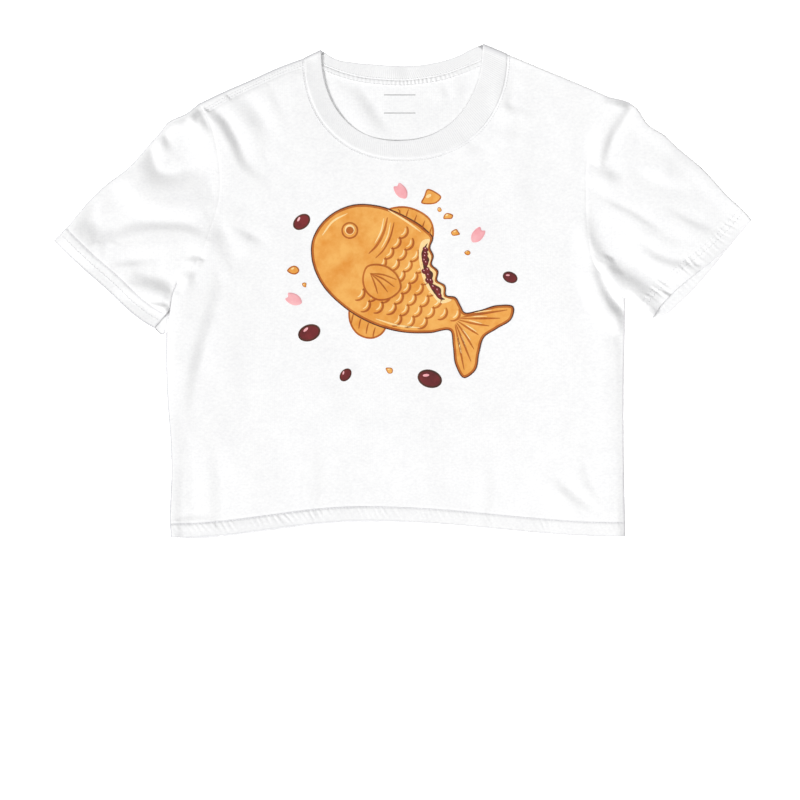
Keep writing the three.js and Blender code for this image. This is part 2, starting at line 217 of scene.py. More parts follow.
# Folded edges run upwards or outwards, from the hem or from the neck.
LEFT_SIDE = curve([
    LEFT_CORNER, (-244.6, -240), (-243.9, -219), (-242.8, -198), (-243, -167), (-247, -110),
    (-248.2, -57), (-247.7, -39), (-243.6, -19), (-240.6, -3), (-236.2, 8.4)])
RIGHT_SIDE = curve([
    RIGHT_CORNER, (232.2, -210), (231.5, -170), (231.5, -90), (232.3, -50), (233, -8.6)])
LEFT_TOP = curve([
    (-214, 196), (-225, 187), (-248.5, 174), (-252, 169), (-266, 153), (-286, 130.5), (-314.5, 108),
    (-330.5, 92), (-354, 64.5), (-365.6, 52.6)])
RIGHT_TOP = curve([
    (216, 203), (237, 197), (244, 192), (257, 174), (274, 163), (285.5, 152), (314, 128), (341, 99),
    (360, 81), (365.6, 74.3)])
LEFT_SHOULDER = curve([(-103, 244), (-130, 234), (-160, 220.5), (-190, 207.5), (-214, 196)])
RIGHT_SHOULDER = curve([(109, 248), (140, 235), (180, 218.5), (216, 203)])
LEFT_UNDER = curve([(-236.2, 8.4), (-240.6, -3), (-243.6, -19)])
LEFT_FLAP = curve([(-243.6, -19), (-248, -39), (-248.4, -42)])
RIGHT_UNDER = curve([(233, -8.6), (247, -18.5), (260.5, -29)])
LEFT_NECK_FOLD = even([(-85.5, 252), (-103, 244)], EDGE_STEP)
RIGHT_NECK_FOLD = even([(83.5, 258.5), (109, 248)], EDGE_STEP)
FOLDED = [
    LEFT_SIDE, RIGHT_SIDE, LEFT_TOP, RIGHT_TOP, LEFT_SHOULDER, RIGHT_SHOULDER, RIGHT_UNDER, LEFT_UNDER,
    LEFT_NECK_FOLD, RIGHT_NECK_FOLD]

# Seams.
LEFT_ARMHOLE = curve([
    (-236.2, 8.4), (-227.2, 14.7), (-216.5, 28.9), (-209.4, 41.4), (-203, 60), (-195, 85), (-191.6, 104),
    (-191.8, 125), (-195.5, 152), (-203, 178), (-214, 196)], SEAM_STEP)
RIGHT_ARMHOLE = curve([
    (233, -8.6), (228.5, -4.9), (212.4, 12.9), (201.7, 24), (196.5, 38), (194.2, 52), (192, 72), (191.5, 97),
    (191.4, 125), (194.6, 146.5), (204.4, 171.5), (211, 189), (216, 203)], SEAM_STEP)
BACK_NECK_SEAM = curve([
    (-103, 244), (-83, 236), (-65, 229), (-41, 223), (-22, 221), (-3, 220), (20, 222), (42, 226),
    (66, 234.5), (85, 242), (109, 248)], SEAM_STEP)
BACK_NECK_TOP = curve([
    (-85.5, 252), (-70, 242.6), (-51, 239), (-28, 237), (-6, 235.4), (15, 236), (36, 239.4), (55, 245),
    (71, 253), (83.5, 258.5)], SEAM_STEP)
NECK_BOW = 2.2  # 2 would be an ellipse; more is squarer


def neckline(left, right, depth):
    """The front of the neck opening, from left to right, hanging from two points."""
    turn = np.linspace(0, math.pi, 400)
    across = (1 - np.sign(np.cos(turn)) * np.abs(np.cos(turn)) ** (2 / NECK_BOW)) / 2
    drop = np.sin(turn) ** (2 / NECK_BOW)
    left, right = np.array(left), np.array(right)
    line = left + (right - left) * across[:, None]
    line[:, 1] -= depth * drop
    return even(line, SEAM_STEP)


FRONT_NECK_SEAM = neckline((-103, 244), (109, 248), 108)
FRONT_NECK_TOP = neckline((-85.5, 252), (83.5, 258.5), 98)


def place_on(line, point):
    """Number of the line's point that is nearest to a place."""
    return int(np.linalg.norm(line - point, axis=1).argmin())


# On the left the back panel wraps over the shoulder to a seam on the front.
wrap_neck = place_on(FRONT_NECK_SEAM, (-104, 233.5))
wrap_tip = place_on(LEFT_ARMHOLE, (-206.8, 184.5))
FORWARD_SEAM = curve([
    FRONT_NECK_SEAM[wrap_neck], (-125, 226.5), (-140, 219.5), (-174, 203.5),
    LEFT_ARMHOLE[wrap_tip]], SEAM_STEP)

# Open edges, from left to right.
ARCH_TOP = -40  # where the hem lies highest
ARCH_RISE = 17.5


def hem_line(drop):
    """The hem rises between its corners in a shallow arch, wider to the right of its top."""
    x = np.linspace(LEFT_CORNER[0], RIGHT_CORNER[0], 380)
    corner = np.interp(x, *zip(LEFT_CORNER, RIGHT_CORNER))
    reach = np.where(x < ARCH_TOP, 200, 272)
    arch = ARCH_RISE * (1 + np.cos(math.pi * np.clip(np.abs(x - ARCH_TOP) / reach, 0, 1))) / 2
    return np.stack([x, corner + arch - drop(x)], 1)


def back_peek(x):
    """The back hem shows a little below the front one, except at the corners."""
    return 1.9 * ease(x, -238, -215) * (1 - 0.75 * ease(x, -40, 60)) * (1 - ease(x, 205, 230))


FRONT_HEM = even(hem_line(lambda x: 0 * x), SEAM_STEP)
BACK_HEM = even(hem_line(back_peek), SEAM_STEP)
LEFT_CUFF = curve([
    (-365.6, 52.6), (-337.7, 25.4), (-309.2, 0.4), (-282, -25), (-270, -33.8), (-260.6, -39.2)], SEAM_STEP)
LEFT_CUFF_CURL = curve([(-260.6, -39.2), (-255.8, -33.4), (-249.5, -26.3), (-243.6, -19)], SEAM_STEP)
LEFT_CUFF_BACK = curve([
    (-365.6, 52.6), (-337.2, 26.4), (-308.7, 1.4), (-281.4, -24), (-270, -32.6), (-260.2, -38.7),
    (-256, -43.6), (-252.5, -45.9), (-249.5, -45.3), (-248.4, -42)], SEAM_STEP)
RIGHT_CUFF = curve([
    (260.5, -29), (262.5, -26), (266, -21), (274.8, -10.3), (303.3, 15.5), (317.5, 26.2), (353.2, 59.2),
    (365.6, 74.3)], SEAM_STEP)
RIGHT_CUFF_BACK = curve([
    (260.5, -29), (267.7, -27.3), (276.6, -24.5), (289, -13.8), (310.4, 7.5), (324.7, 24.4), (340.7, 44),
    (365.6, 74.3)], SEAM_STEP)


# ---------------------------------------------------------------- relief of the front

# Relief is worked out once, on grids over the whole shirt.
GRID_LOW = np.array([-384.0, -280.0])
GRID_SPAN = (769, 561)
RELIEF_STEP = 1.0
DROOP_STEP = 6.0


def grid_points(step):
    """Plan points of a grid over the shirt, and the grid's shape."""
    lines = [low + step * np.arange(span // step + 2) for low, span in zip(GRID_LOW, GRID_SPAN)]
    x, y = np.meshgrid(*lines, indexing="ij")
    return np.stack([x.ravel(), y.ravel()], 1), x.shape


def on_grid(grid, points, step=RELIEF_STEP):
    """Reads one of the grids at plan points."""
    x, y = ((points - GRID_LOW) / step).T
    return spline_sample(grid, x, y)


def spline_sample(grid, x, y):
    """Reads a grid of values as one smooth surface, at places counted in grid steps."""
    ix, iy = np.floor(x).astype(int), np.floor(y).astype(int)
    u, v = x - ix, y - iy

    def weights(t):
        inner = [(3 * a**3 - 6 * a**2 + 4) / 6 for a in (t, 1 - t)]
        return (1 - t) ** 3 / 6, *inner, t**3 / 6

    total = np.zeros(np.shape(x))
    for i, wx in enumerate(weights(u)):
        column = np.clip(ix + i - 1, 0, grid.shape[0] - 1)
        for j, wy in enumerate(weights(v)):
            total += wx * wy * grid[column, np.clip(iy + j - 1, 0, grid.shape[1] - 1)]
    return total


def clouds(points, size, seed):
    """Soft random rise and fall, about -1 to 1, with waves of one size."""
    lattice = np.random.default_rng(seed).normal(0, 1, (900 // size + 8, 700 // size + 8))
    x, y = ((points + (400, 300)) / size + 2).T
    return 1.6 * spline_sample(lattice, x, y)


def fold_profile(width, lead, tail, skew):
    """Height across a fold that drops by 1: a slow rise over lead, the steep side over width, and a slow rise
    over tail. Skew says where it is steepest: 0 at the crest, 1 at the foot."""
    share = 0.7  # of the rise that comes before the drop
    s = np.linspace(-lead - width / 2, width / 2 + tail, 400)
    u = np.clip((s + width / 2) / width, 0, 1)
    steep = u ** (2 * skew) * (1 - u) ** (2 * (1 - skew))
    rise = np.clip((s + width / 2 + lead) / lead, 0, 1)
    climb = np.where(s < -width / 2, np.sin(math.pi * rise) ** 2, 0)
    back = np.clip((s - width / 2) / tail, 0, 1)
    settle = np.where(s > width / 2, (1 - back) ** 2 * back**0.5, 0)
    slope = share * climb / climb.sum() + (1 - share) * settle / settle.sum() - steep / steep.sum()
    return s, np.cumsum(slope)


# Folds of the front layer, drawn down the middle of each steep side, which faces right of the line's travel:
# route, width of the steep side, drop, drop's strength along the route, rise before, rise after.
FOLDS = [
    # left shoulder and chest
    ([(-145, 114), (-158, 123), (-170, 135), (-179, 152), (-185, 163), (-192, 176), (-200, 184)], 12, 6.2,
     (0.05, 0.2, 0.45, 0.75, 1, 1, 0.6), 30, 18),
    ([(-150, 150), (-160, 176), (-176, 196)], 26, 3.4, (0.2, 1, 0.6), 22, 16),
    ([(-118, 176), (-132, 192), (-141, 214)], 9, 0.8, (0, 1, 0.7), 16, 12),
    ([(-106, 224), (-130, 217)], 8, 0.8, (1, 0.4), 12, 8),
    ([(-203, 164), (-207, 174), (-212, 185)], 7, 3.2, (0.2, 1, 0.8), 9, 8),
    ([(-221, 184), (-234, 179), (-246, 173)], 7, 6.2, (1, 1, 0.4), 8, 5),
    # left side of the body
    ([(-226, -134), (-221, -95), (-214.5, -56), (-209, -40), (-203, -22), (-198.5, -6), (-196, 8)], 14, 4.0,
     (0, 0.4, 1, 1, 0.9, 0.6, 0.3), 34, 24),
    ([(-223, 1), (-220.5, 14), (-217.5, 27)], 10, 3.0, (0.2, 1, 0.3), 10, 9),
    ([(-148, 46), (-161, 54), (-174, 64)], 10, 2.2, (0.2, 1, 0.3), 18, 12),
    ([(-184, 32), (-192, 52), (-202, 76)], 20, 3.4, (0.3, 1, 0.3), 22, 14),
    ([(-224, -241), (-228, -215), (-233, -170), (-236, -120)], 14, 1.2, (0.8, 1, 0.5, 0), 14, 12),
    ([(-194, -237), (-213, -239), (-234, -241)], 9, 1.4, (0, 1, 1), 12, 5),
    ([(-196, -240), (-202, -200), (-204, -150)], 16, 1.6, (0.8, 1, 0), 22, 16),
    ([(-168, -130), (-176, -70), (-178, -10)], 20, 0.5, (0, 1, 0.2), 26, 22),
    # left sleeve
    ([(-312, 55), (-327, 58), (-338, 66), (-336, 84)], 24, 4.2, (0.2, 1, 1, 0.8), 18, 12),
    ([(-207, 58), (-218, 66), (-234, 71), (-256, 70), (-281, 66), (-300, 60), (-318, 54)], 13, 3.9,
     (0.2, 0.7, 1, 1, 1, 0.9, 0.5), 26, 22),
    ([(-266, 34), (-281, 32.5), (-306, 30)], 10, 3.6, (0.3, 1, 0.3), 14, 12),
    ([(-247, 3), (-256, 7), (-268, 9.5), (-281, 13), (-298, 21)], 20, 6.0, (0.9, 1, 0.9, 0.6, 0.1), 14, 20),
    ([(-246, -16), (-256, -15), (-270, -13.5)], 5, 5.6, (1, 0.6, 0), 7, 6),
    ([(-213, 34), (-222, 36), (-231, 34)], 8, 2.7, (1, 0.9, 0), 9, 9),
    ([(-241, 150), (-247.5, 158), (-250.5, 168)], 9, 3.2, (0.2, 1, 0.5), 10, 8),
    ([(-212, 92), (-240, 98), (-268, 95), (-300, 84)], 13, 0.6, (0.2, 1, 0.8, 0.2), 16, 14),
    # right sleeve
    ([(211, 137), (213.5, 152), (217, 166), (225, 180), (235, 196)], 10, 5.2, (0.5, 1, 1, 1, 1), 13, 12),
    ([(240, 184), (236, 192), (228, 200)], 9, 1.0, (0.2, 1, 1), 10, 8),
    ([(232, 111), (216, 121), (203, 129)], 15, 3.6, (0, 0.9, 0.3), 14, 14),
    ([(277, 59), (251, 70), (237, 77), (224, 83), (205, 94)], 8, 1.5, (0, 1, 1, 0.8, 0.2), 14, 12),
    ([(327, 60), (303, 72), (280, 84)], 8, 1.7, (0.4, 1, 0.2), 14, 12),
    ([(286, 52), (264, 58), (243, 64)], 8, 0.5, (0.3, 1, 0.3), 12, 10),
    ([(304, 30), (280, 31), (264, 37), (252, 46)], 10, 2.5, (0.8, 1, 1, 0.3), 12, 12),
    ([(250, 126), (266, 118), (294, 112)], 14, 2.4, (0.2, 1, 0.2), 18, 14),
    ([(222, 160), (246, 152), (274, 132)], 14, 0.4, (0.2, 1, 0.2), 18, 14),
    # right side of the body
    ([(236, -28), (223, -18), (212, -2), (204, 14), (195, 32)], 11, 6.6, (1, 1, 1, 0.8, 0.1), 14, 9),
    ([(226, -150), (225.5, -110), (225, -60), (224, -26)], 12, 1.7, (0, 0.3, 0.8, 1), 26, 8),
    ([(196, -234), (181, -220), (169, -210), (153, -197)], 10, 1.9, (0.2, 1, 1, 0.2), 14, 14),
    ([(202, -222), (194, -205), (190, -188)], 10, 1.1, (0.4, 1, 0.3), 12, 12),
    ([(64, -244), (68, -205), (66, -165)], 12, 0.3, (0.8, 1, 0), 16, 12),
    ([(86, -244), (90, -212), (88, -178)], 11, 0.7, (0.8, 1, 0), 12, 12),
    ([(-96, -236), (-90, -190), (-92, -140)], 16, 0.8, (0.8, 1, 0), 24, 18),
    ([(140, 60), (128, 110), (132, 160)], 18, 0.8, (0, 1, 0), 26, 22),
    # below the neck, on the right
    ([(120, 178), (112, 196), (116, 214)], 10, 1.8, (0.2, 1, 0.3), 14, 12),
    ([(134, 187), (118, 190), (106, 192)], 6, 0.7, (0.3, 1, 0.3), 9, 7),
    ([(90, 142), (76, 151), (65, 161)], 8, 0.6, (0.3, 1, 0.3), 12, 9),
    ([(96, 138), (112, 150), (124, 168)], 9, 1.4, (0.2, 1, 0.3), 12, 12),
]
# The same, steepest just below the crest.
CRESTED = [
    ([(224, 23), (209, 38.5), (199, 56), (195.5, 77)], 13, 3.0, (0.7, 1, 1, 0.1), 14, 24),
    ([(268, -22), (252, -6), (234, 8), (212, 26)], 22, 7.4, (1.25, 1, 0.75, 0.2), 10, 18),
    ([(272, 2), (248, 15), (224, 29)], 24, 5.4, (0.8, 1, 0.8), 12, 18),
]
# The same, steepest just above the foot.
FOOTED = [
    ([(-203, 122), (-222, 118), (-240, 115), (-256, 118), (-267, 129), (-275, 146)], 24, 5.0,
     (0.1, 0.7, 1, 1, 1, 1), 26, 11),
]
RUN_OUT = 1.5  # the rises before and after are this much longer than drawn


def lay_folds(relief, points, folds, skew):
    """Adds each fold to the relief of the points near it."""
    for route, width, drop, strength, lead, tail in folds:
        lead, tail = RUN_OUT * lead, RUN_OUT * tail
        line = curve(route, 2.0)
        reach = lead + tail + width
        low, high = line.min(0) - reach, line.max(0) + reach
        near = np.flatnonzero(((points > low) & (points < high)).all(1))
        _, side, along, past = nearest(points[near], line)
        s, height = fold_profile(width, lead, tail, skew)
        length = run_along(line)[-1]
        power = np.interp(along, np.linspace(0, length, len(strength)), strength)
        fade = 1 - ease(past, 0, width)
        relief[near] += drop * power * fade * np.interp(side, s, height, left=0, right=0)


def front_relief():
    """The height that folds and slack give the front."""
    points, shape = grid_points(RELIEF_STEP)
    bent = points + 2.2 * np.stack([clouds(points, 34, 5), clouds(points, 34, 6)], 1)
    hanging = bent * (1, 0.42)  # slack runs up and down the shirt
    relief = 0.6 * clouds(points, 62, 11) + 0.26 * clouds(hanging, 25, 12)
    relief += 0.07 * clouds(bent, 12, 13) * (1 + clouds(points, 70, 14))
    relief += 0.03 * clouds(bent, 6, 15)
    for folds, skew in ((FOLDS, 0.55), (CRESTED, 0.28), (FOOTED, 0.8)):
        lay_folds(relief, bent, folds, skew)
    return relief.reshape(shape)


def front_droop():
    """How much lower the front lies near its openings, on a coarser grid."""
    points, shape = grid_points(DROOP_STEP)
    x, y = points.T
    droop = 2.6 * near_to(points, [FRONT_HEM], -20, 110)
    droop += 0.5 * near_to(points, [RIGHT_CUFF], -10, 100) + 4.0 * ease(x, 205, 366)
    droop -= 0.8 * near_to(points, [LEFT_CUFF], -10, 100)
    droop += near_to(points, [FRONT_NECK_TOP], -10, 60) * ease(y, 262, 200)
    return droop.reshape(shape)


RELIEF = front_relief()
DROOP = front_droop()


def rolled(away, radius):
    """Share of its full height that cloth has reached, this far in from a folded edge."""
    return np.sqrt(1 - (1 - np.clip(away / radius, 0, 1)) ** 2)


SEAMS = [LEFT_ARMHOLE, RIGHT_ARMHOLE, FORWARD_SEAM, FRONT_NECK_SEAM]


def levels(points):
    """Height of the folded edges and of the front. The edges lie halfway up, and higher at the left
    underarm, where sleeve and body push each other up."""
    front = FRONT_LEVEL - on_grid(DROOP, points, DROOP_STEP)
    pushed = near_to(points, [LEFT_UNDER], 1, 14) * ease(points[:, 1], -22, -4)
    return BACK_LEVEL + (front - BACK_LEVEL) * (0.5 + 0.36 * pushed), front


# Where the front rises or sinks beside a folded edge: edge, rise, reach.
BESIDE_FOLDS = [
    (RIGHT_SIDE, -0.7, 22),
    (RIGHT_TOP[:20], -0.8, 8),
    (RIGHT_TOP[20:], 1.2, 20),
    (LEFT_SHOULDER, -2.6, 16),
]
SEAM_GROOVE = 0.22  # how deep cloth is drawn in at a seam
SEAM_RIDGE = 0.05  # and how high it stands beside it
CORNER_END = -243.5  # x up to which the cloth at the left cuff's lower corner lies low


def front_height(points, turned=True):
    """Height of the front layer. Its open edges curl down where they are turned."""
    folded = distance(points, FOLDED)
    middle, level = levels(points)
    full = rolled(folded, ROLL)
    z = middle + (level - middle) * full + on_grid(RELIEF, points) * ease(folded, 0, 9)
    for edge, rise, reach in BESIDE_FOLDS:
        z += rise * near_to(points, [edge], 0, reach) * full
    beside = distance(points, [LEFT_SIDE])
    z -= 2.3 * ease(beside, 1, 14) * ease(beside, 90, 14) * ease(points[:, 1], -150, -215)
    corner = near_to(points, [LEFT_CUFF_CURL], 3, 20) * (points[:, 0] < CORNER_END)
    z -= 2.2 * corner * ease(beside, 0, 9)
    seam = distance(points, SEAMS)
    z += (SEAM_RIDGE * swell(seam - 3.2, 2.2) - SEAM_GROOVE * swell(seam, 0.9)) * ease(folded, 0, 3)
    z += hem_relief(points, FRONT_HEMS) * ease(folded, 0, 6)
    if turned:
        edge = distance(points, [FRONT_HEM, LEFT_CUFF, LEFT_CUFF_CURL, RIGHT_CUFF])
        z -= turn_radius(folded) * (1 - rolled(edge, TURN))
    return z


def turn_radius(folded):
    """Radius of a hem's turned edge, which flattens towards the folded edges at its ends."""
    return TURN * rolled(folded, ROLL)


PUCKER_PITCH = 6.6  # from one pucker to the next
# Edge; depth; the puckers' strength at first, at last, and where along the edge it changes; lift; the
# puckers' lean; their reach above the stitches; x where all this has faded out and where it is whole; seed.
FRONT_HEMS = [
    (FRONT_HEM, HEM_DEPTH, (0.85, 0.35, 90, 260), 0.7, 0.55, 1.5, (-400, -300), 21),
    (LEFT_CUFF, CUFF_DEPTH, (0.3, 0.3, 0, 1), 1.0, 0.1, 1.5, (-243, -247), 22),
    (RIGHT_CUFF, CUFF_DEPTH, (1.9, 0.8, 10, 80), 0, 0.1, 7, (234, 239), 23),
]
BACK_HEMS = [(RIGHT_CUFF_BACK, CUFF_DEPTH, (0.6, 0.6, 0, 1), 0.3, 0.1, 1.5, (262, 270), 24)]


def hem_relief(points, hems):
    """Stitch grooves of the hems, the lift of the doubled cloth towards the edge, and the slanting puckers
    that the sewing pulls up."""
    total = np.zeros(len(points))
    for edge, depth, (first, last, start, end), lift, lean, above, (none, whole), seed in hems:
        close = np.abs(points - edge.mean(0)) < np.ptp(edge, axis=0) / 2 + 32
        near = np.flatnonzero(close.all(1))
        away, side, along, _ = nearest(points[near], edge)
        inward = np.where(side < 0, away, -away)
        place = np.stack([along, inward], 1)
        turn = (along + lean * inward + 2.0 * clouds(place, 15, seed)) * 2 * math.pi / PUCKER_PITCH
        uneven = np.clip(0.6 + 0.6 * clouds(place, 9, seed + 10), 0, 2)
        wave = (np.sin(turn) + 0.6 * np.sin(1.7 * turn + 2)) * uneven
        reach = ease(inward, -2, depth - 3) * ease(inward, depth + above, depth - 2)
        pull = first + (last - first) * ease(along, start, end)
        groove = (0.4 + 0.2 * pull) * swell(inward - depth, 0.95)
        doubled = 0.2 * pull * swell(inward - depth + 5.5, 3.2) + lift * ease(inward, depth + 2, 0)
        total[near] += (0.25 * pull * wave * reach - groove + doubled) * ease(points[near, 0], none, whole)
    return total


def back_height(points, turned=True, folds=FOLDED):
    """Height of the back layer, which lies on the floor and meets the front at the folded edges."""
    folded = distance(points, folds)
    middle, _ = levels(points)
    full = rolled(folded, ROLL)
    z = middle - (middle - BACK_LEVEL) * full
    z += on_grid(BACK_RELIEF, points) * ease(folded, 0.5, 6)
    z += np.maximum(hem_relief(points, BACK_HEMS), 0) * ease(folded, 0, 6)
    if turned:
        edge = distance(points, [BACK_HEM, LEFT_CUFF_BACK, RIGHT_CUFF_BACK])
        z += turn_radius(folded) * (1 - rolled(edge, TURN))
    return z


# Folds of the back inside the neck, drawn as the front's are.
BACK_FOLDS = [
    ([(-14, 162), (-29, 179), (-37, 191), (-47, 205), (-62, 214)], 13, 1.9, (0.1, 0.8, 1, 0.9, 0.3), 16, 12),
    ([(40, 196), (44, 205), (40, 214)], 8, 1.0, (0.3, 1, 0.3), 10, 8),
    ([(62, 200), (60, 212), (64, 222)], 8, 0.6, (0.3, 1, 0.3), 10, 8),
    ([(-66, 196), (-76, 200), (-84, 199)], 6, 0.3, (0.3, 1, 0.3), 8, 8),
    ([(-3, 214), (-2, 226), (-4, 240)], 16, 1.1, (0.4, 1, 1), 14, 12),
]


def back_relief():
    """Slack of the back where it shows inside the neck."""
    points, shape = grid_points(RELIEF_STEP)
    x, y = points.T
    shown = ease(np.hypot(x, y - 200), 130, 90)
    relief = 3.8 + 1.1 * ease(y, 205, 165) + 0.3 * clouds(points, 45, 31)
    relief += 0.1 * clouds(points, 18, 32) + 0.04 * clouds(points, 9, 33)
    lay_folds(relief, points, BACK_FOLDS, 0.55)
    under = 0.12 + 0.1 * np.abs(clouds(points, 40, 34))
    return (np.maximum(relief, 0.1) * shown + under * (1 - shown)).reshape(shape)


BACK_RELIEF = back_relief()


# ---------------------------------------------------------------- making meshes

# Rows of points lie this far in from folded edges and from turned edges, closest where they bend most.
ROLL_ROWS = (0.1, 0.35, 0.8, 1.4, 2.2, 3.4)
TURN_ROWS = (0.08, 0.3, 0.75)
HEM_ROWS = (0, *TURN_ROWS, 3, 6, 9, 12)


def rows_inside(loop, rounded, lines, reaches):
    """Points in rows beside the lines, where these lie inside the loop and clear of its edge."""
    picked = []
    for line in lines:
        for reach in reaches:
            for side in (reach, -reach):
                row = offset(line, side)
                row = row[within(row, loop)]
                if len(row):
                    picked.append(row[distance(row, [rounded]) > 0.9 * reach])
    return picked


def cut(loop, fine, folds=(), turns=()):
    """Divides the inside of a closed loop into small triangles, finer near some lines, with rows of points
    along folded edges and turned edges. Returns plan points and faces."""
    if signed_area(loop) < 0:
        loop = loop[::-1]
    rounded = np.vstack([loop, loop[:1]])
    low, high = loop.min(0), loop.max(0)
    held = rows_inside(loop, rounded, folds, ROLL_ROWS) + rows_inside(loop, rounded, turns, TURN_ROWS)
    for spacing, keep_fine in ((COARSE, False), (FINE, True)):
        across = np.arange(low[0], high[0], spacing)
        up = np.arange(low[1], high[1], spacing * 0.87)
        x, y = np.meshgrid(across, up, indexing="ij")
        x = x + spacing / 2 * (np.arange(len(up)) % 2)
        grid = np.stack([x.ravel(), y.ravel()], 1)
        grid = grid[within(grid, loop)]
        zone = np.zeros(len(grid), bool)
        for line, reach in fine:
            zone |= nearest(grid, line[::2])[0] < reach
        grid = grid[zone == keep_fine]
        clear = distance(grid, [rounded]) > 0.6 * spacing
        for lines, limit in ((folds, ROLL_ROWS[-1]), (turns, TURN_ROWS[-1])):
            if lines:
                clear &= distance(grid, lines) > limit + 0.5 * spacing
        held.append(grid[clear])
    count = len(loop)
    edges = [(i, (i + 1) % count) for i in range(count)]
    made = delaunay_2d_cdt([Vector(p) for p in np.vstack([loop, *held])], edges, [], 0, 1e-4, True)
    plan = np.array([tuple(v) for v in made[0]])
    faces = np.array(made[2])
    on_loop = np.array([min(sources, default=0) < count for sources in made[3]])
    doubtful = on_loop[faces].all(1)
    keep = ~doubtful
    keep[doubtful] = within(plan[faces[doubtful]].mean(1), loop)
    return plan, [tuple(f) for f in faces[keep].tolist()]


def laid(loop, height, fine=(), folds=(), turns=(), face_down=False):
    """A cut piece of cloth at its height, as points in millimetres and faces."""
    plan, faces = cut(loop, fine, folds, turns)
    solid = np.column_stack([plan, height(plan)])
    return solid, [f[::-1] for f in faces] if face_down else faces


def strip(rows, closed=False):
    """Rows of points as one list, and the faces between them."""
    wide = len(rows[0])
    faces = []
    for i in range(len(rows) - 1):
        for j in range(wide - (not closed)):
            k = (j + 1) % wide
            faces.append((i * wide + j, i * wide + k, (i + 1) * wide + k, (i + 1) * wide + j))
    return np.vstack(rows), faces


def turned_hem(edge, height, depth, under, folds=FOLDED):
    """The part of a hem that is turned inside, from the edge inwards. The inside lies left of the line."""
    rows = []
    for reach in (*HEM_ROWS, depth):
        row = offset(edge, reach)
        turn = turn_radius(distance(row, folds)) * (1 + rolled(reach, TURN))
        rows.append(np.column_stack([row, height(row, turned=False) + (-turn if under else turn)]))
    return strip(rows)


def to_frame(points):
    """Drawn millimetres to metres in the model's frame."""
    return np.asarray(points) * MM + ORIGIN


# Painted shade along folded edges, hems, cuffs, seams and the neck fold, where the cloth's colour is mixed
# towards grey to stand in for shade: lines, whole up to, none beyond, strength.
PAINTED_SHADE_LINES = [
    ([LEFT_SIDE[LEFT_SIDE[:, 1] < -44]], 0.8, 2.2, 1.0),
    ([LEFT_SIDE], 0.3, 1.3, 0.25),
    ([RIGHT_SIDE], 0.5, 2.5, 0.35),
    ([RIGHT_SIDE[RIGHT_SIDE[:, 1] < -190]], 0.8, 3.4, 0.45),
    ([RIGHT_TOP], 0.4, 1.6, 0.25),
    ([RIGHT_NECK_FOLD], 1.0, 8, 0.45),
    ([LEFT_TOP], 0.5, 1.9, 0.65),
    ([BACK_NECK_TOP], 0.4, 1.6, 0.25),
    ([LEFT_SHOULDER, LEFT_NECK_FOLD], 0.6, 3.4, 0.65),
    ([LEFT_CUFF_CURL], 0, 1.2, 0.4),
    ([FRONT_HEM, BACK_HEM], 0.3, 1.4, 0.62),
    ([FRONT_HEM[:60]], 11, 14.5, 0.11),
    ([FRONT_HEM[:90]], 11, 14.5, 0.08),
    ([FRONT_HEM[:120]], 11, 14.5, 0.05),
    ([FRONT_HEM[:150]], 11, 14.5, 0.03),
    ([LEFT_CUFF, LEFT_CUFF_BACK], 0.3, 1.4, 0.7),
    ([RIGHT_CUFF, RIGHT_CUFF_BACK], 0.2, 1.2, 0.2),
    ([RIGHT_CUFF], 0, 12, 0.07),
    ([offset(FRONT_HEM, HEM_DEPTH), offset(LEFT_CUFF, CUFF_DEPTH)], 0, 1.4, 0.6),
    ([offset(FRONT_HEM, HEM_DEPTH)[:160]], 0.2, 1.5, 0.7),
    ([FRONT_NECK_SEAM, FORWARD_SEAM], 0, 0.9, 0.1),
]


def in_scene(name, data):
    """A new object in the scene."""
    made = bpy.data.objects.new(name, data)
    bpy.context.scene.collection.objects.link(made)
    return made


def piece(name, parts, material, weld=0.02, painted_shade=False):
    """One named mesh from several parts, sewn together where they meet."""
    points, faces, first = [], [], 0
    for part, part_faces in parts:
        points.append(part)
        faces += [tuple(i + first for i in f) for f in part_faces]
        first += len(part)
    mesh = bpy.data.meshes.new(name)
    mesh.from_pydata(to_frame(np.vstack(points)).tolist(), [], faces)
    made = in_scene(name, mesh)
    if weld:
        bm = bmesh.new()
        bm.from_mesh(mesh)
        bmesh.ops.remove_doubles(bm, verts=bm.verts, dist=weld * MM)
        bmesh.ops.dissolve_degenerate(bm, edges=bm.edges, dist=1e-7)
        bm.to_mesh(mesh)
        bm.free()
    mesh.validate()
    mesh.polygons.foreach_set("use_smooth", [True] * len(mesh.polygons))
    # Painted shade: a point attribute that darkens the cloth's colour near the lines listed above, standing
    # in for shade there.
    if painted_shade:
        place = np.empty(len(mesh.vertices) * 3)
        mesh.vertices.foreach_get("co", place)
        plan = ((place.reshape(-1, 3) - ORIGIN) / MM)[:, :2]
        painted_shade_shares = [share * near_to(plan, lines, start, end) for lines, start, end, share in PAINTED_SHADE_LINES]
        mesh.attributes.new("painted_shade", "FLOAT", "POINT").data.foreach_set("value", np.max(painted_shade_shares, axis=0))
    mesh.materials.append(material)
    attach(made, "root")
    return made


# ---------------------------------------------------------------- materials

def linear(code):
    """An sRGB hex colour as linear red, green, blue and full alpha."""
    parts = [int(code[i : i + 2], 16) / 255 for i in (0, 2, 4)]
    return (*[c / 12.92 if c <= 0.04045 else ((c + 0.055) / 1.055) ** 2.4 for c in parts], 1)


def add(material, kind, values=None, links=None, **settings):
    """Adds a node with its settings, its input values and the outputs that feed it."""
    node = material.node_tree.nodes.new("ShaderNode" + kind)
    for name, value in settings.items():
        setattr(node, name, value)
    for name, value in (values or {}).items():
        node.inputs[name].default_value = value
    for name, output in (links or {}).items():
        material.node_tree.links.new(output, node.inputs[name])
    return node


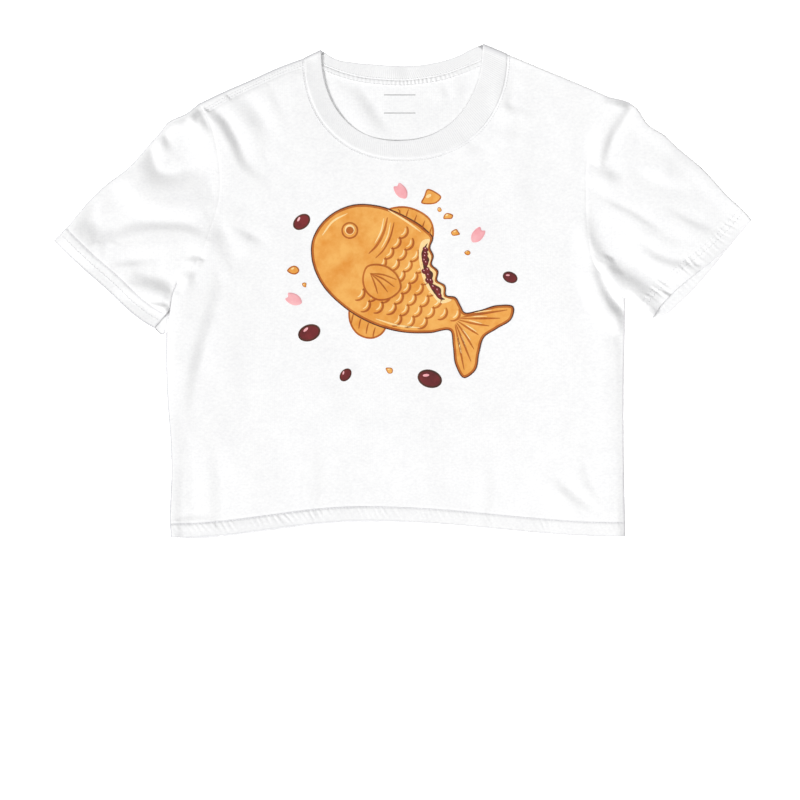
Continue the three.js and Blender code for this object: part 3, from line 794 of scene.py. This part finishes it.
def new_material(name):
    """An empty material, and the place on the object that its patterns follow."""
    made = bpy.data.materials.new(name)
    made.use_nodes = True
    made.node_tree.nodes.clear()
    return made, add(made, "TexCoord").outputs["Object"]


def per(size):
    """Scale of a noise pattern with features of a size in millimetres."""
    return 1000 / size


def rows_per(size):
    """Scale of a wave pattern that repeats every so many millimetres."""
    return 2 * math.pi / 20 * 1000 / size


# Yarn, in millimetres. Real loops are 0.5 to 0.8 mm across, too fine to show, so they are drawn two or three
# times as wide.
SLUB = (2.94, 2.08, 2.94)  # thick and thin places in the yarn
MOTTLE = 18.2  # patches where the knit is denser


def knit(name, light, dark, painted_shade_colour, wale, course, depth, roughness, sheen):
    """Cotton knit: columns of loops, the wales, across rows of them, the courses. It gives a matt face with
    a soft dry sheen, grains of shade between the loops, and a faint mottle from uneven yarn."""
    made, place = new_material(name)
    bands = [
        add(made, "TexWave", {"Scale": rows_per(pitch), "Distortion": 0.6, "Detail": 1.0}, {"Vector": place},
            wave_type="BANDS", bands_direction=way)
        for pitch, way in ((wale, "X"), (course, "Y"))]
    loops = add(made, "Math", links={k: band.outputs["Fac"] for k, band in enumerate(bands)},
                operation="MULTIPLY")
    stretch = add(made, "Mapping", {"Scale": [per(size) for size in SLUB]}, {"Vector": place})
    slub = add(made, "TexNoise", {"Scale": 1.0, "Detail": 3.0}, {"Vector": stretch.outputs[0]})
    mottle = add(made, "TexNoise", {"Scale": per(MOTTLE), "Detail": 4.0, "Roughness": 0.6},
                 {"Vector": place})
    relief = add(made, "Math", {1: 0.5}, {0: slub.outputs["Fac"], 2: loops.outputs[0]},
                 operation="MULTIPLY_ADD")
    bump = add(made, "Bump", {"Strength": 0.35, "Distance": depth / 1000}, {"Height": relief.outputs[0]})
    blend = add(made, "Math", {1: 0.5}, {0: mottle.outputs["Fac"], 2: slub.outputs["Fac"]},
                operation="MULTIPLY_ADD")
    tone = add(made, "ValToRGB", links={"Fac": blend.outputs[0]})
    for stop, at, code in zip(tone.color_ramp.elements, (0.45, 0.95), (dark, light)):
        stop.position = at
        stop.color = linear(code)
    # Painted shade: the colour is mixed towards a grey where the cloth's attribute marks folded edges, hems
    # and seams, standing in for shade there.
    painted_shade = add(made, "Attribute", attribute_name="painted_shade")
    colour = add(made, "Mix", {"B": linear(painted_shade_colour)},
                 {"Factor": painted_shade.outputs["Fac"], "A": tone.outputs["Color"]}, data_type="RGBA")
    shader = add(made, "BsdfPrincipled",
                 {"Roughness": roughness, "Sheen Weight": sheen, "Sheen Roughness": 0.5, "IOR": 1.46,
                  "Specular IOR Level": 0.2},
                 {"Base Color": colour.outputs["Result"], "Normal": bump.outputs[0]})
    add(made, "OutputMaterial", links={"Surface": shader.outputs[0]})
    return made


# The third colour of each knit is its painted shade: the grey it is mixed towards along edges, hems and
# seams.
# Bleached single jersey: the whitest, with an even fine face.
JERSEY = knit("white_cotton_jersey", "fbfbfb", "f1f1f2", "bcbcc0", 1.9, 1.6, 0.12, 0.9, 0.1)
# One-by-one rib: a shade deeper, as light is lost between its ribs.
RIB = knit("white_cotton_rib", "f4f4f4", "eeeeef", "bcbcc0", 2.3, 1.4, 0.1, 0.9, 0.1)
# Jersey binding, pressed flat: smoother and closer than the body.
TAPE = knit("white_cotton_tape", "f5f5f5", "f0f0f1", "c9c9cc", 1.6, 1.6, 0.1, 0.9, 0.1)
# Spun sewing thread, tightly twisted: a little greyer and less dull than the cloth, so that stitches show.
THREAD = knit("white_sewing_thread", "ececed", "e4e4e6", "c9c9cc", 0.8, 0.8, 0.05, 0.6, 0.2)

# ---------------------------------------------------------------- the cloth pieces

SEAM_ZONE = 5  # how far from seams and hems the mesh is fine
HEM_ZONE = 24
sides = [LEFT_SIDE, RIGHT_SIDE]
front_outline = join(
    FRONT_HEM, RIGHT_SIDE, RIGHT_ARMHOLE, RIGHT_SHOULDER[::-1], FRONT_NECK_SEAM[wrap_neck:][::-1],
    FORWARD_SEAM, LEFT_ARMHOLE[: wrap_tip + 1][::-1], LEFT_SIDE[::-1])
front = piece("front_cloth", [
    laid(front_outline, front_height, [(FRONT_HEM, HEM_ZONE), *[(seam, SEAM_ZONE) for seam in SEAMS]],
         [*sides, RIGHT_SHOULDER], [FRONT_HEM]),
    turned_hem(FRONT_HEM, front_height, HEM_DEPTH, True),
], JERSEY, painted_shade=True)

back_outline = join(
    BACK_HEM, RIGHT_SIDE, RIGHT_ARMHOLE, RIGHT_SHOULDER[::-1], BACK_NECK_SEAM[::-1],
    LEFT_SHOULDER, LEFT_ARMHOLE[::-1], LEFT_SIDE[::-1])
wrapped_outline = join(
    LEFT_SHOULDER, LEFT_ARMHOLE[wrap_tip:][::-1], FORWARD_SEAM[::-1], FRONT_NECK_SEAM[: wrap_neck + 1][::-1])
back = piece("back_cloth", [
    laid(back_outline, back_height, [(BACK_HEM, SEAM_ZONE), (BACK_NECK_SEAM, SEAM_ZONE)],
         [*sides, LEFT_SHOULDER, RIGHT_SHOULDER], [BACK_HEM], face_down=True),
    turned_hem(BACK_HEM, back_height, HEM_DEPTH, False),
    laid(wrapped_outline, front_height, [(FORWARD_SEAM, 20)], [LEFT_SHOULDER]),
], JERSEY, painted_shade=True)

LEFT_FOLDS = [LEFT_TOP, LEFT_UNDER]
RIGHT_FOLDS = [RIGHT_TOP, RIGHT_UNDER]


def sleeve_back_height(points, turned=True):
    """Height of the left sleeve's back, whose corner shows close behind that of the front."""
    corner = near_to(points, [LEFT_CUFF_CURL], 3, 20) * ease(distance(points, LEFT_FOLDS), 0, 6)
    return back_height(points, turned, LEFT_FOLDS) + 2.9 * corner


left_outlines = [
    join(LEFT_UNDER, LEFT_CUFF_CURL[::-1], LEFT_CUFF[::-1], LEFT_TOP[::-1], LEFT_ARMHOLE[::-1]),
    join(LEFT_UNDER, LEFT_FLAP, LEFT_CUFF_BACK[::-1], LEFT_TOP[::-1], LEFT_ARMHOLE[::-1]),
]
straight_back_cuff = LEFT_CUFF_BACK[: place_on(LEFT_CUFF_BACK, (-262, -38))]
left_sleeve = piece("left_sleeve_cloth", [
    laid(left_outlines[0], front_height, [(LEFT_CUFF, HEM_ZONE), (LEFT_ARMHOLE, SEAM_ZONE)],
         LEFT_FOLDS, [LEFT_CUFF]),
    turned_hem(LEFT_CUFF, front_height, CUFF_DEPTH, True),
    laid(left_outlines[1], sleeve_back_height, [(LEFT_CUFF_BACK, SEAM_ZONE)],
         LEFT_FOLDS, [LEFT_CUFF_BACK], face_down=True),
    turned_hem(straight_back_cuff, sleeve_back_height, CUFF_DEPTH, False, LEFT_FOLDS),
], JERSEY, painted_shade=True)

right_outlines = [
    join(RIGHT_UNDER, RIGHT_CUFF, RIGHT_TOP[::-1], RIGHT_ARMHOLE[::-1]),
    join(RIGHT_UNDER, RIGHT_CUFF_BACK, RIGHT_TOP[::-1], RIGHT_ARMHOLE[::-1]),
]
right_sleeve = piece("right_sleeve_cloth", [
    laid(right_outlines[0], front_height, [(RIGHT_CUFF, HEM_ZONE), (RIGHT_ARMHOLE, SEAM_ZONE)],
         RIGHT_FOLDS, [RIGHT_CUFF]),
    turned_hem(RIGHT_CUFF, front_height, CUFF_DEPTH, True),
    laid(right_outlines[1], back_height, [(RIGHT_CUFF_BACK, HEM_ZONE)],
         RIGHT_FOLDS, [RIGHT_CUFF_BACK], face_down=True),
    turned_hem(RIGHT_CUFF_BACK, back_height, CUFF_DEPTH, False),
], JERSEY, painted_shade=True)


# ---------------------------------------------------------------- neck band and tape

RIB_STATION = 0.38  # spacing of the band's cross-sections
FOLD_STATIONS = np.array([0.03, 0.12, 0.25])  # closer together where the band folds over the shoulder
# Points across the band, from its seam to its top.
BAND_PLACES = np.array(
    [0, 0.3, 0.8, 1.6, 2.6, 4, 6, 8, 10, 12, 14, 15.6, 16.8, 17.6, 18.1, 18.4, 18.6, RIB_WIDTH])


def stations(line, count):
    """Points along a line for the band's cross-sections, and how far along it they are."""
    run = run_along(line)
    at = np.r_[np.linspace(0, run[-1], count), FOLD_STATIONS, run[-1] - FOLD_STATIONS]
    at = np.sort(at)
    return np.stack([np.interp(at, run, column) for column in line.T], 1), at


def band_half(outer, inner, height):
    """Middle surface of the front or back half of the neck band: stations by places across, seam first."""
    count = round(run_along(outer)[-1] / RIB_STATION)
    outer_points, along = stations(outer, count)
    inner_points, _ = stations(inner, count)
    share = (BAND_PLACES / RIB_WIDTH)[None, :, None]
    plan = outer_points[:, None] + (inner_points - outer_points)[:, None] * share
    flat = plan.reshape(-1, 2)
    return np.column_stack([flat, height(flat)]).reshape(*plan.shape[:2], 3), along


front_band, front_run = band_half(FRONT_NECK_SEAM, FRONT_NECK_TOP, lambda p: front_height(p) - 0.15)
back_band, back_run = band_half(
    BACK_NECK_SEAM[::-1], BACK_NECK_TOP[::-1], lambda p: np.maximum(back_height(p), RIB_HALF + 0.35))
band = np.concatenate([front_band, back_band[1:-1]])
run = np.r_[front_run, front_run[-1] + back_run[1:-1]]
looped = np.concatenate([band[-1:], band, band[:1]])
out = np.cross(looped[2:] - looped[:-2], np.gradient(band, axis=1))
out /= np.linalg.norm(out, axis=2)[..., None]
from_top = RIB_WIDTH - BAND_PLACES
half = RIB_HALF * (0.45 + 0.55 * rolled(BAND_PLACES, 1.6)) * rolled(from_top, 0.9)
turns = round(run[-1] / RIB_PITCH) * 2 * math.pi
ribs = 0.05 * np.cos(run / run[-1] * turns)[:, None] * rolled(from_top, 2.5) * rolled(BAND_PLACES, 2.5)
outside = band + out * (half + ribs)[..., None]
inside = band - out * (half + ribs)[..., None]
around = np.concatenate([outside, inside[:, :-1][:, ::-1]], axis=1)
band_piece = piece("neck_rib_band", [strip([*around, around[0]], closed=True)], RIB, painted_shade=True)

# The tape in section, from under its upper edge over to under its lower one: place below the seam, height.
TAPE_SECTION = (
    (1.5, 0.15), (0.2, 0.2), (0.3, 0.6), (0.8, 0.95), (1.8, 1.1), (2.8, 1.15),
    (3.8, 1.1), (4.8, 1.0), (5.5, 0.75), (5.8, 0.4), (5.6, 0.15), (4.2, 0.1))
TAPE_STEP = 0.8
GATHER_PITCH = 4.4


def gathers(row, reach):
    """How the tape ripples along its stitches, more towards the right."""
    along = np.arange(len(row)) * TAPE_STEP
    place = np.column_stack([along, np.full(len(along), reach)])
    strength = (0.5 + 0.5 * ease(row[:, 0], -20, 20)) * (0.7 + 0.4 * clouds(place, 21, 42))
    return strength * np.sin(along * 2 * math.pi / GATHER_PITCH + 1.4 * clouds(place, 16, 41))


taped = BACK_NECK_SEAM[(BACK_NECK_SEAM[:, 0] > -84) & (BACK_NECK_SEAM[:, 0] < 91)]
rows = []
for reach, lift in TAPE_SECTION:
    row = offset(even(taped, TAPE_STEP), -reach)
    rows.append(np.column_stack([row, back_height(row) + lift * (0.75 + 0.4 * gathers(row, reach))]))
tape = piece("back_neck_tape", [strip(rows)], TAPE)


# ---------------------------------------------------------------- stitching

# Length of a stitch, gap to the next, radius of the thread.
HEM_STITCH = (2.6, 0.7, 0.3)
NECK_STITCH = (2.2, 0.7, 0.28)
SHOULDER_STITCH = (2.4, 0.7, 0.28)
ON_CLOTH = 0.12  # how high the thread's middle lies over the cloth
THREAD_SIDES = 6
# One stitch, from hole to hole: share of its length, share of its full thickness, rise in radii.
STITCH_FORM = ((-0.5, 0.25, -0.5), (-0.35, 0.9, 0), (0, 1, 0.25), (0.35, 0.9, 0), (0.5, 0.25, -0.5))


def sew(line, height, stitch, lift=ON_CLOTH, sway=0):
    """A row of stitches along a line, as points and faces: short rounded threads that dip at both ends."""
    length, gap, radius = stitch
    path = even(line, length + gap)
    middles = (path[:-1] + path[1:]) / 2
    heading = np.diff(path, axis=0)
    heading /= np.linalg.norm(heading, axis=1)[:, None]
    across = left_of(heading)
    swing = sway * np.where(np.arange(len(middles)) % 2, 1, -1)[:, None]
    points = np.empty((len(middles), len(STITCH_FORM), THREAD_SIDES, 3))
    for k, (share, thick, rise) in enumerate(STITCH_FORM):
        centre = middles + heading * share * length + across * swing * share * 2
        level = height(centre) + lift + rise * radius
        for side in range(THREAD_SIDES):
            turn = 2 * math.pi * side / THREAD_SIDES
            points[:, k, side, :2] = centre + across * thick * radius * math.cos(turn)
            points[:, k, side, 2] = level + thick * radius * math.sin(turn)
    n, last = THREAD_SIDES, (len(STITCH_FORM) - 1) * THREAD_SIDES
    pattern = [
        (k + j, k + (j + 1) % n, k + n + (j + 1) % n, k + n + j)
        for k in range(0, last, n) for j in range(n)
    ] + [tuple(range(n))[::-1], tuple(range(last, last + n))]
    faces = [tuple(i + (last + n) * m for i in f) for m in range(len(middles)) for f in pattern]
    return points.reshape(-1, 3), faces


def flush(line):
    """The line cut short of the folded edges at its ends."""
    return line[distance(line, FOLDED) > 2.5]


def stitch_piece(name, rows):
    """Rows of stitches as one piece."""
    return piece(name, rows, THREAD, weld=0)


# Cuffs have two rows: one at the top of the hem, and a wandering one some way below it.
CUFF_ROWS = ((LEFT_CUFF, 0, 0), (LEFT_CUFF, 8, 0.4), (RIGHT_CUFF, 0, 0), (RIGHT_CUFF, 5, 0.8))
hem_stitches = stitch_piece("hem_stitches", [
    sew(flush(offset(FRONT_HEM, HEM_DEPTH)), front_height, HEM_STITCH),
])
stitch_piece("cuff_stitches", [
    sew(flush(offset(edge, CUFF_DEPTH - below)), front_height, HEM_STITCH, sway=sway)
    for edge, below, sway in CUFF_ROWS
])
stitch_piece("neck_stitches", [
    sew(flush(offset(FRONT_NECK_SEAM, -2.4)), front_height, NECK_STITCH),
])
stitch_piece("back_neck_stitches", [
    sew(offset(taped, -4.9), back_height, SHOULDER_STITCH, 1.05),
    sew(offset(taped, 1.6), back_height, SHOULDER_STITCH, RIB_HALF),
])
stitch_piece("shoulder_stitches", [
    sew(flush(offset(FORWARD_SEAM, -beyond)), front_height, SHOULDER_STITCH) for beyond in (2.2, 5)
])

# ---------------------------------------------------------------- screen print

INK_LIFT = 0.16  # each ink stands this far off the cloth, and each further one as much above the last
INK_MOTTLE = 23.8  # patches of thicker and thinner ink
INK_GRAIN = 1.613  # the knit showing through as a grain


def ink(name, light, dark, roughness):
    """Screen-print ink, cured on the cloth: a thin rubbery film. It gives a flat, nearly matt colour that is
    mottled where the film is uneven, with the knit's grain showing through."""
    made, place = new_material(name)
    tone = add(made, "TexNoise", {"Scale": per(INK_MOTTLE), "Detail": 5.0, "Roughness": 0.65},
               {"Vector": place})
    grain = add(made, "TexNoise", {"Scale": per(INK_GRAIN), "Detail": 2.0}, {"Vector": place})
    ramp = add(made, "ValToRGB", links={"Fac": tone.outputs["Fac"]})
    for stop, at, code in zip(ramp.color_ramp.elements, (0.36, 0.64), (dark, light)):
        stop.position = at
        stop.color = linear(code)
    bump = add(made, "Bump", {"Strength": 0.3, "Distance": 0.0001}, {"Height": grain.outputs["Fac"]})
    shader = add(made, "BsdfPrincipled", {"Roughness": roughness, "IOR": 1.5, "Specular IOR Level": 0.35},
                 {"Base Color": ramp.outputs["Color"], "Normal": bump.outputs[0]})
    add(made, "OutputMaterial", links={"Surface": shader.outputs[0]})
    return made


INKS = {
    "gold": ink("golden_screen_print_ink", "f4b55c", "e59434", 0.55),
    "toast": ink("toasted_brown_screen_print_ink", "c66f22", "a9520f", 0.55),
    "brown": ink("dark_brown_screen_print_ink", "5a2c1b", "3f1a10", 0.5),
    "cream": ink("cream_screen_print_ink", "fde2a8", "fbd088", 0.55),
    "bean": ink("bean_red_screen_print_ink", "7d2326", "571316", 0.5),
    "pink": ink("pale_pink_screen_print_ink", "fbc3c6", "f3a0a8", 0.55),
    "grey": ink("grey_label_ink", "bcbcbc", "b0b0b0", 0.6),
}
FISH_PLACE = np.array([0.0, 8.0])
FISH_TURN = math.radians(-35)
FISH_SIZE = 0.94
films = {name: [] for name in INKS}


def swung(points, angle):
    """Points turned about the middle of their drawing."""
    c, s = math.cos(angle), math.sin(angle)
    return points @ np.array([[c, s], [-s, c]])


def ring(points, step=1.2):
    """A smooth closed loop through the points."""
    p = np.asarray(points, float)
    line = curve(np.vstack([p[-2:], p, p[:2]]), 0.3)
    first = place_on(line[: len(line) // 2], p[0])
    last = len(line) // 2 + place_on(line[len(line) // 2 :], p[0])
    return even(line[first : last + 1], step)[:-1]


def oval(centre, wide, high, turn=0.0, step=0.9):
    """A closed ellipse."""
    count = max(10, round(math.pi * (wide + high) / step))
    angle = np.linspace(0, 2 * math.pi, count, endpoint=False)
    return swung(np.stack([wide * np.cos(angle), high * np.sin(angle)], 1), turn) + centre


def stroke(points, width, ends=0.25):
    """A line of ink that narrows towards its ends."""
    line = curve(points, 1.0)
    share = np.linspace(0, 1, len(line))
    half = width / 2 * (ends + (1 - ends) * np.sin(math.pi * share) ** 0.7)
    side = left_of(headings(line)) * half[:, None]
    return np.vstack([line + side, (line - side)[::-1]])


def arc(centre, radius, start, end):
    """Points round part of a circle, by angles in degrees."""
    angle = np.radians(np.linspace(start, end, 9))
    return centre + radius * np.stack([np.cos(angle), np.sin(angle)], 1)


def inset(loop, depth):
    """A closed loop drawn in by a distance."""
    along = np.roll(loop, -1, axis=0) - np.roll(loop, 1, axis=0)
    along /= np.linalg.norm(along, axis=1)[:, None]
    return loop + left_of(along) * depth * np.sign(signed_area(loop))


def on_shirt(loop):
    """From the fish's own drawing, head to the left, to its place and tilt on the chest."""
    return swung(loop, FISH_TURN) * FISH_SIZE + FISH_PLACE


def lay_ink(name, loop, layer, fish=True):
    """Prints one filled shape, on top of the layers below it."""
    loop = on_shirt(loop) if fish else loop
    plan, faces = cut(loop, [])
    films[name].append((np.column_stack([plan, front_height(plan) + INK_LIFT * (1 + layer)]), faces))


def rimmed(loop, rim, fill, layer, width, fish=True):
    """A shape in one ink with a rim of another."""
    lay_ink(rim, loop, layer, fish)
    lay_ink(fill, inset(loop, width), layer + 1, fish)


BITE = [(-2, 60), (2, 49), (10, 44), (14, 35), (24, 33), (29, 24), (40, 24), (47, 16), (57, 20)]
fish_body = ring([
    (-112, -6), (-109, 16), (-96, 38), (-72, 54), (-40, 62), (-14, 63), *BITE, (66, 16), (74, 12), (86, 22),
    (101, 40), (116, 48), (121, 38), (114, 18), (108, 2), (113, -14), (121, -35), (116, -47), (101, -41),
    (86, -25), (74, -13), (56, -28), (28, -46), (-6, -57), (-40, -59), (-74, -52), (-98, -36), (-109, -20)])
dorsal = ring([(-62, 55), (-52, 68), (-34, 76), (-14, 75), (-4, 66), (0, 56), (-20, 50), (-44, 50)])
belly_fin = ring([(-34, -54), (-26, -68), (-8, -76), (8, -70), (14, -58), (12, -48), (-10, -50)])
rimmed(dorsal, "toast", "gold", 0, 2.0)
rimmed(belly_fin, "toast", "gold", 0, 2.0)
for x in (-52, -42, -31, -20, -10):
    lay_ink("toast", stroke([(x + 6, 56), (x + 2, 64), (x, 71 if x > -50 else 64)], 1.6), 2)
for x in (-24, -14, -4, 5):
    lay_ink("toast", stroke([(x - 2, -58), (x, -64), (x + 3, -70)], 1.6), 2)
lay_ink("brown", inset(fish_body, -0.7), 2)
lay_ink("toast", inset(fish_body, 0.5), 3)
lay_ink("gold", inset(fish_body, 2.6), 4)

# The bitten place: pale crumb, a toasted gap, and the bean filling.
CRUMB = [
    (-4, 57), (1, 47), (9, 42), (13, 33), (23, 31), (28, 22), (39, 22), (46, 14), (55, 16),
    (48, 6), (34, 8), (18, 15), (4, 27), (-7, 41), (-9, 52)]
GAP = [
    (-3, 52), (0, 43), (9, 38), (12, 30), (21, 28), (26, 19), (38, 19), (44, 12), (49, 12),
    (45, 9), (34, 11), (20, 18), (7, 29), (-3, 41)]
FILLING = [
    (-1, 45), (3, 38), (8, 33), (14, 27.5), (18, 23), (24, 19.5), (30, 15.5), (36, 15), (41, 12),
    (1.5, 41), (12, 24), (21, 18), (5, 34)]
lay_ink("cream", ring(CRUMB), 5)
lay_ink("brown", ring(GAP), 6)
draw = np.random.default_rng(77)
for k, (x, y) in enumerate(FILLING):
    turn = draw.uniform(-0.9, 0.2)
    lay_ink("bean", oval((x, y), 3.4, 2.5, turn), 7 + k % 2)
    lay_ink("pink", oval((x - 0.9, y + 0.9), 0.9, 0.45, turn), 9)

# Moulded scales: a toasted groove round each, a pale crest inside it.
body_line = np.vstack([fish_body, fish_body[:1]])
for column, x in enumerate(np.arange(-34, 74, 12.5)):
    for y in np.arange(-52, 58, 14) + 7 * (column % 2):
        spot = np.array([[x + 6.5, y], [x, y + 6], [x, y - 6]])
        if not within(spot, fish_body).all() or nearest(spot, body_line)[0].min() < 5:
            continue
        if -14 < x < 56 and y > 34 - 0.62 * x:  # the bitten place
            continue
        lay_ink("toast", stroke(arc((x - 2, y), 8.6, -68, 68), 2.5, 0.35), 5)
        lay_ink("cream", stroke(arc((x - 3.6, y + 0.6), 6.6, -42, 50), 1.7), 5)

# Gill cover, eye ring, side fin, tail rays and pale crests.
for shift, wide in ((0, 3.0), (9, 2.0)):
    groove = np.array([(-56, 50), (-50, 34), (-48, 16), (-50, 5)]) + (shift, 0)
    crest = np.array([(-59, 47), (-53, 33), (-51, 18)]) + (shift, 0)
    lay_ink("toast", stroke(groove, wide), 5)
    lay_ink("cream", stroke(crest, 1.6), 5)
lay_ink("toast", oval((-82, 14), 9.4, 9.4), 5)
lay_ink("gold", oval((-82, 14), 7.6, 7.6), 6)
lay_ink("cream", oval((-82.6, 14.6), 5.6, 5.6), 7)
lay_ink("toast", oval((-82, 14), 4.2, 4.2), 8)
side_fin = ring([(-44, -8), (-30, 4), (-10, 4), (2, -6), (0, -20), (-12, -32), (-28, -32), (-40, -22)])
rimmed(side_fin, "toast", "gold", 6, 2.0)
for end in ((-8, -1), (-5, -9), (-8, -18), (-16, -26)):
    middle = ((-38 + end[0]) / 2, (-12 + end[1]) / 2 + 1.5)
    lay_ink("toast", stroke([(-36, -12), middle, end], 1.7), 8)
for end in ((112, 42), (111, 30), (106, 16), (102, 1), (107, -15), (112, -28), (111, -40)):
    lay_ink("toast", stroke([(74, end[1] * 0.12), (88, end[1] * 0.45), end], 2.2), 5)
    lay_ink("cream", stroke([(84, end[1] * 0.4 + 1.8), (98, end[1] * 0.72 + 2)], 1.3), 5)
for points in ([(-104, -8), (-103, 12), (-95, 28)], [(-60, 57), (-38, 58.5), (-16, 58)],
               [(-2, -50), (22, -42), (44, -30)]):
    lay_ink("cream", stroke(points, 2.2), 5)

# Round the fish lie loose crumbs (place, size, seed), beans (place, size, turn) and petals (place, turn).
CRUMBS = [
    (29, 97, 10.5, 1), (47, 78, 5.5, 2), (38, 85, 3.2, 3), (55, 61, 4.6, 4), (67, 40, 3.6, 5),
    (-114, 22, 6.4, 6), (-103, 6, 3, 7), (-14, -83, 4.2, 8)]
BEANS = [
    (-106, 72, 10, 0.7), (112, 14, 8, -0.4), (-98, -44, 12, 0.35), (28, -92, 13, -0.3), (-60, -88, 7.5, 0.9)]
PETALS = [(-2, 104, 2.2), (78, 58, 0.9), (-114, -9, 2.7)]
for x, y, size, seed in CRUMBS:
    reach = size * np.random.default_rng(seed).uniform(0.62, 1.15, 7)
    angle = np.linspace(0, 2 * math.pi, 7, endpoint=False) + seed
    loop = ring(np.stack([x + reach * np.cos(angle), y + 0.82 * reach * np.sin(angle)], 1), 1.0)
    rimmed(loop, "toast", "gold", 0, min(1.4, size * 0.2), fish=False)
    lay_ink("cream", oval((x - size * 0.2, y + size * 0.2), size * 0.3, size * 0.16, 0.5), 2, fish=False)
for x, y, size, turn in BEANS:
    rimmed(oval((x, y), size, size * 0.72, turn), "brown", "bean", 0, size * 0.16, fish=False)
    shine = oval((x - size * 0.3, y + size * 0.28), size * 0.26, size * 0.11, turn + 0.4)
    lay_ink("pink", shine, 2, fish=False)
for x, y, turn in PETALS:
    petal = ring([(-9, 0), (-5, 4.6), (2, 5.8), (8.5, 3), (6.6, 0), (8.5, -3), (2, -5.8), (-5, -4.6)], 0.9)
    petal = swung(petal, turn) + (x, y)
    rimmed(petal, "pink", "cream", 0, 3.6, fish=False)
    lay_ink("pink", inset(petal, 1.0), 2, fish=False)

# Two plain rules inside the back neck.
for y in (205, 186):
    edges = [even([(-20, y + side), (13, y + side)], 1.0) for side in (-0.45, 0.45)]
    films["grey"].append(strip([np.column_stack([line, back_height(line) + INK_LIFT]) for line in edges]))

for name, parts in films.items():
    title = "neck_label_rules" if name == "grey" else f"print_{name}"
    piece(title, parts, INKS[name], weld=0)

for cloth, node in ((front, "front_panel"), (back, "back_panel"), (left_sleeve, "sleeve_left"),
                    (right_sleeve, "sleeve_right"), (band_piece, "neck_rib"), (tape, "neck_tape")):
    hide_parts(node)


# ---------------------------------------------------------------- floor, light and camera

PAPER_FIBRE = 3.33
floor_mesh = bpy.data.meshes.new("floor")
floor_mesh.from_pydata([(-6, -6, 0), (6, -6, 0), (6, 6, 0), (-6, 6, 0)], [], [(0, 1, 2, 3)])
floor = in_scene("floor", floor_mesh)
floor.location.z = cad_low.z - 0.0001

# Uncoated white paper, lit through from behind: pure white, with no shine and hardly a shadow.
paper, place = new_material("white_studio_paper")
fibre = add(paper, "TexNoise", {"Scale": per(PAPER_FIBRE), "Detail": 3.0}, {"Vector": place})
tone = add(paper, "ValToRGB", links={"Fac": fibre.outputs["Fac"]})
tone.color_ramp.elements[0].color = linear("fcfcfc")
tone.color_ramp.elements[1].color = linear("fefefe")
paper_shader = add(paper, "BsdfPrincipled",
                   {"Roughness": 1.0, "Specular IOR Level": 0.0, "Emission Color": (1, 1, 1, 1),
                    "Emission Strength": 1.0},
                   {"Base Color": tone.outputs["Color"]})
add(paper, "OutputMaterial", links={"Surface": paper_shader.outputs[0]})
floor_mesh.materials.append(paper)


def facing(way):
    """Rotation that points a lamp along a direction."""
    return Vector(way).to_track_quat("-Z", "Y").to_euler()


softbox = bpy.data.lights.new("top_softbox", "AREA")
softbox.size = 4.0
softbox.energy = 113
box = in_scene("top_softbox", softbox)
box.location = (1.5, -1.5, 4.6)
box.rotation_euler = facing(-box.location)
sun = bpy.data.lights.new("key_light", "SUN")
sun.angle = math.radians(22)
sun.energy = 2.5
in_scene("key_light", sun).rotation_euler = facing((1.15, 0.65, -1))
world = bpy.data.worlds.new("soft_room")
bpy.context.scene.world = world
world.use_nodes = True
room = world.node_tree.nodes["Background"].inputs
room["Color"].default_value = (1, 1, 1, 1)
room["Strength"].default_value = 0.22
bpy.context.scene.view_settings.view_transform = "Standard"

CAMERA_HEIGHT = 3.0
VIEW_WIDTH = 0.8384  # what the picture spans on the shirt, in metres
VIEW_SHIFT = (-0.0031, -0.1142)  # from the shirt's middle to the picture's
camera_data = bpy.data.cameras.new("camera")
camera_data.lens = camera_data.sensor_width * CAMERA_HEIGHT / VIEW_WIDTH
camera = in_scene("camera", camera_data)
camera.location = (ORIGIN[0] + VIEW_SHIFT[0], ORIGIN[1] + VIEW_SHIFT[1], CAMERA_HEIGHT)
bpy.context.scene.camera = camera
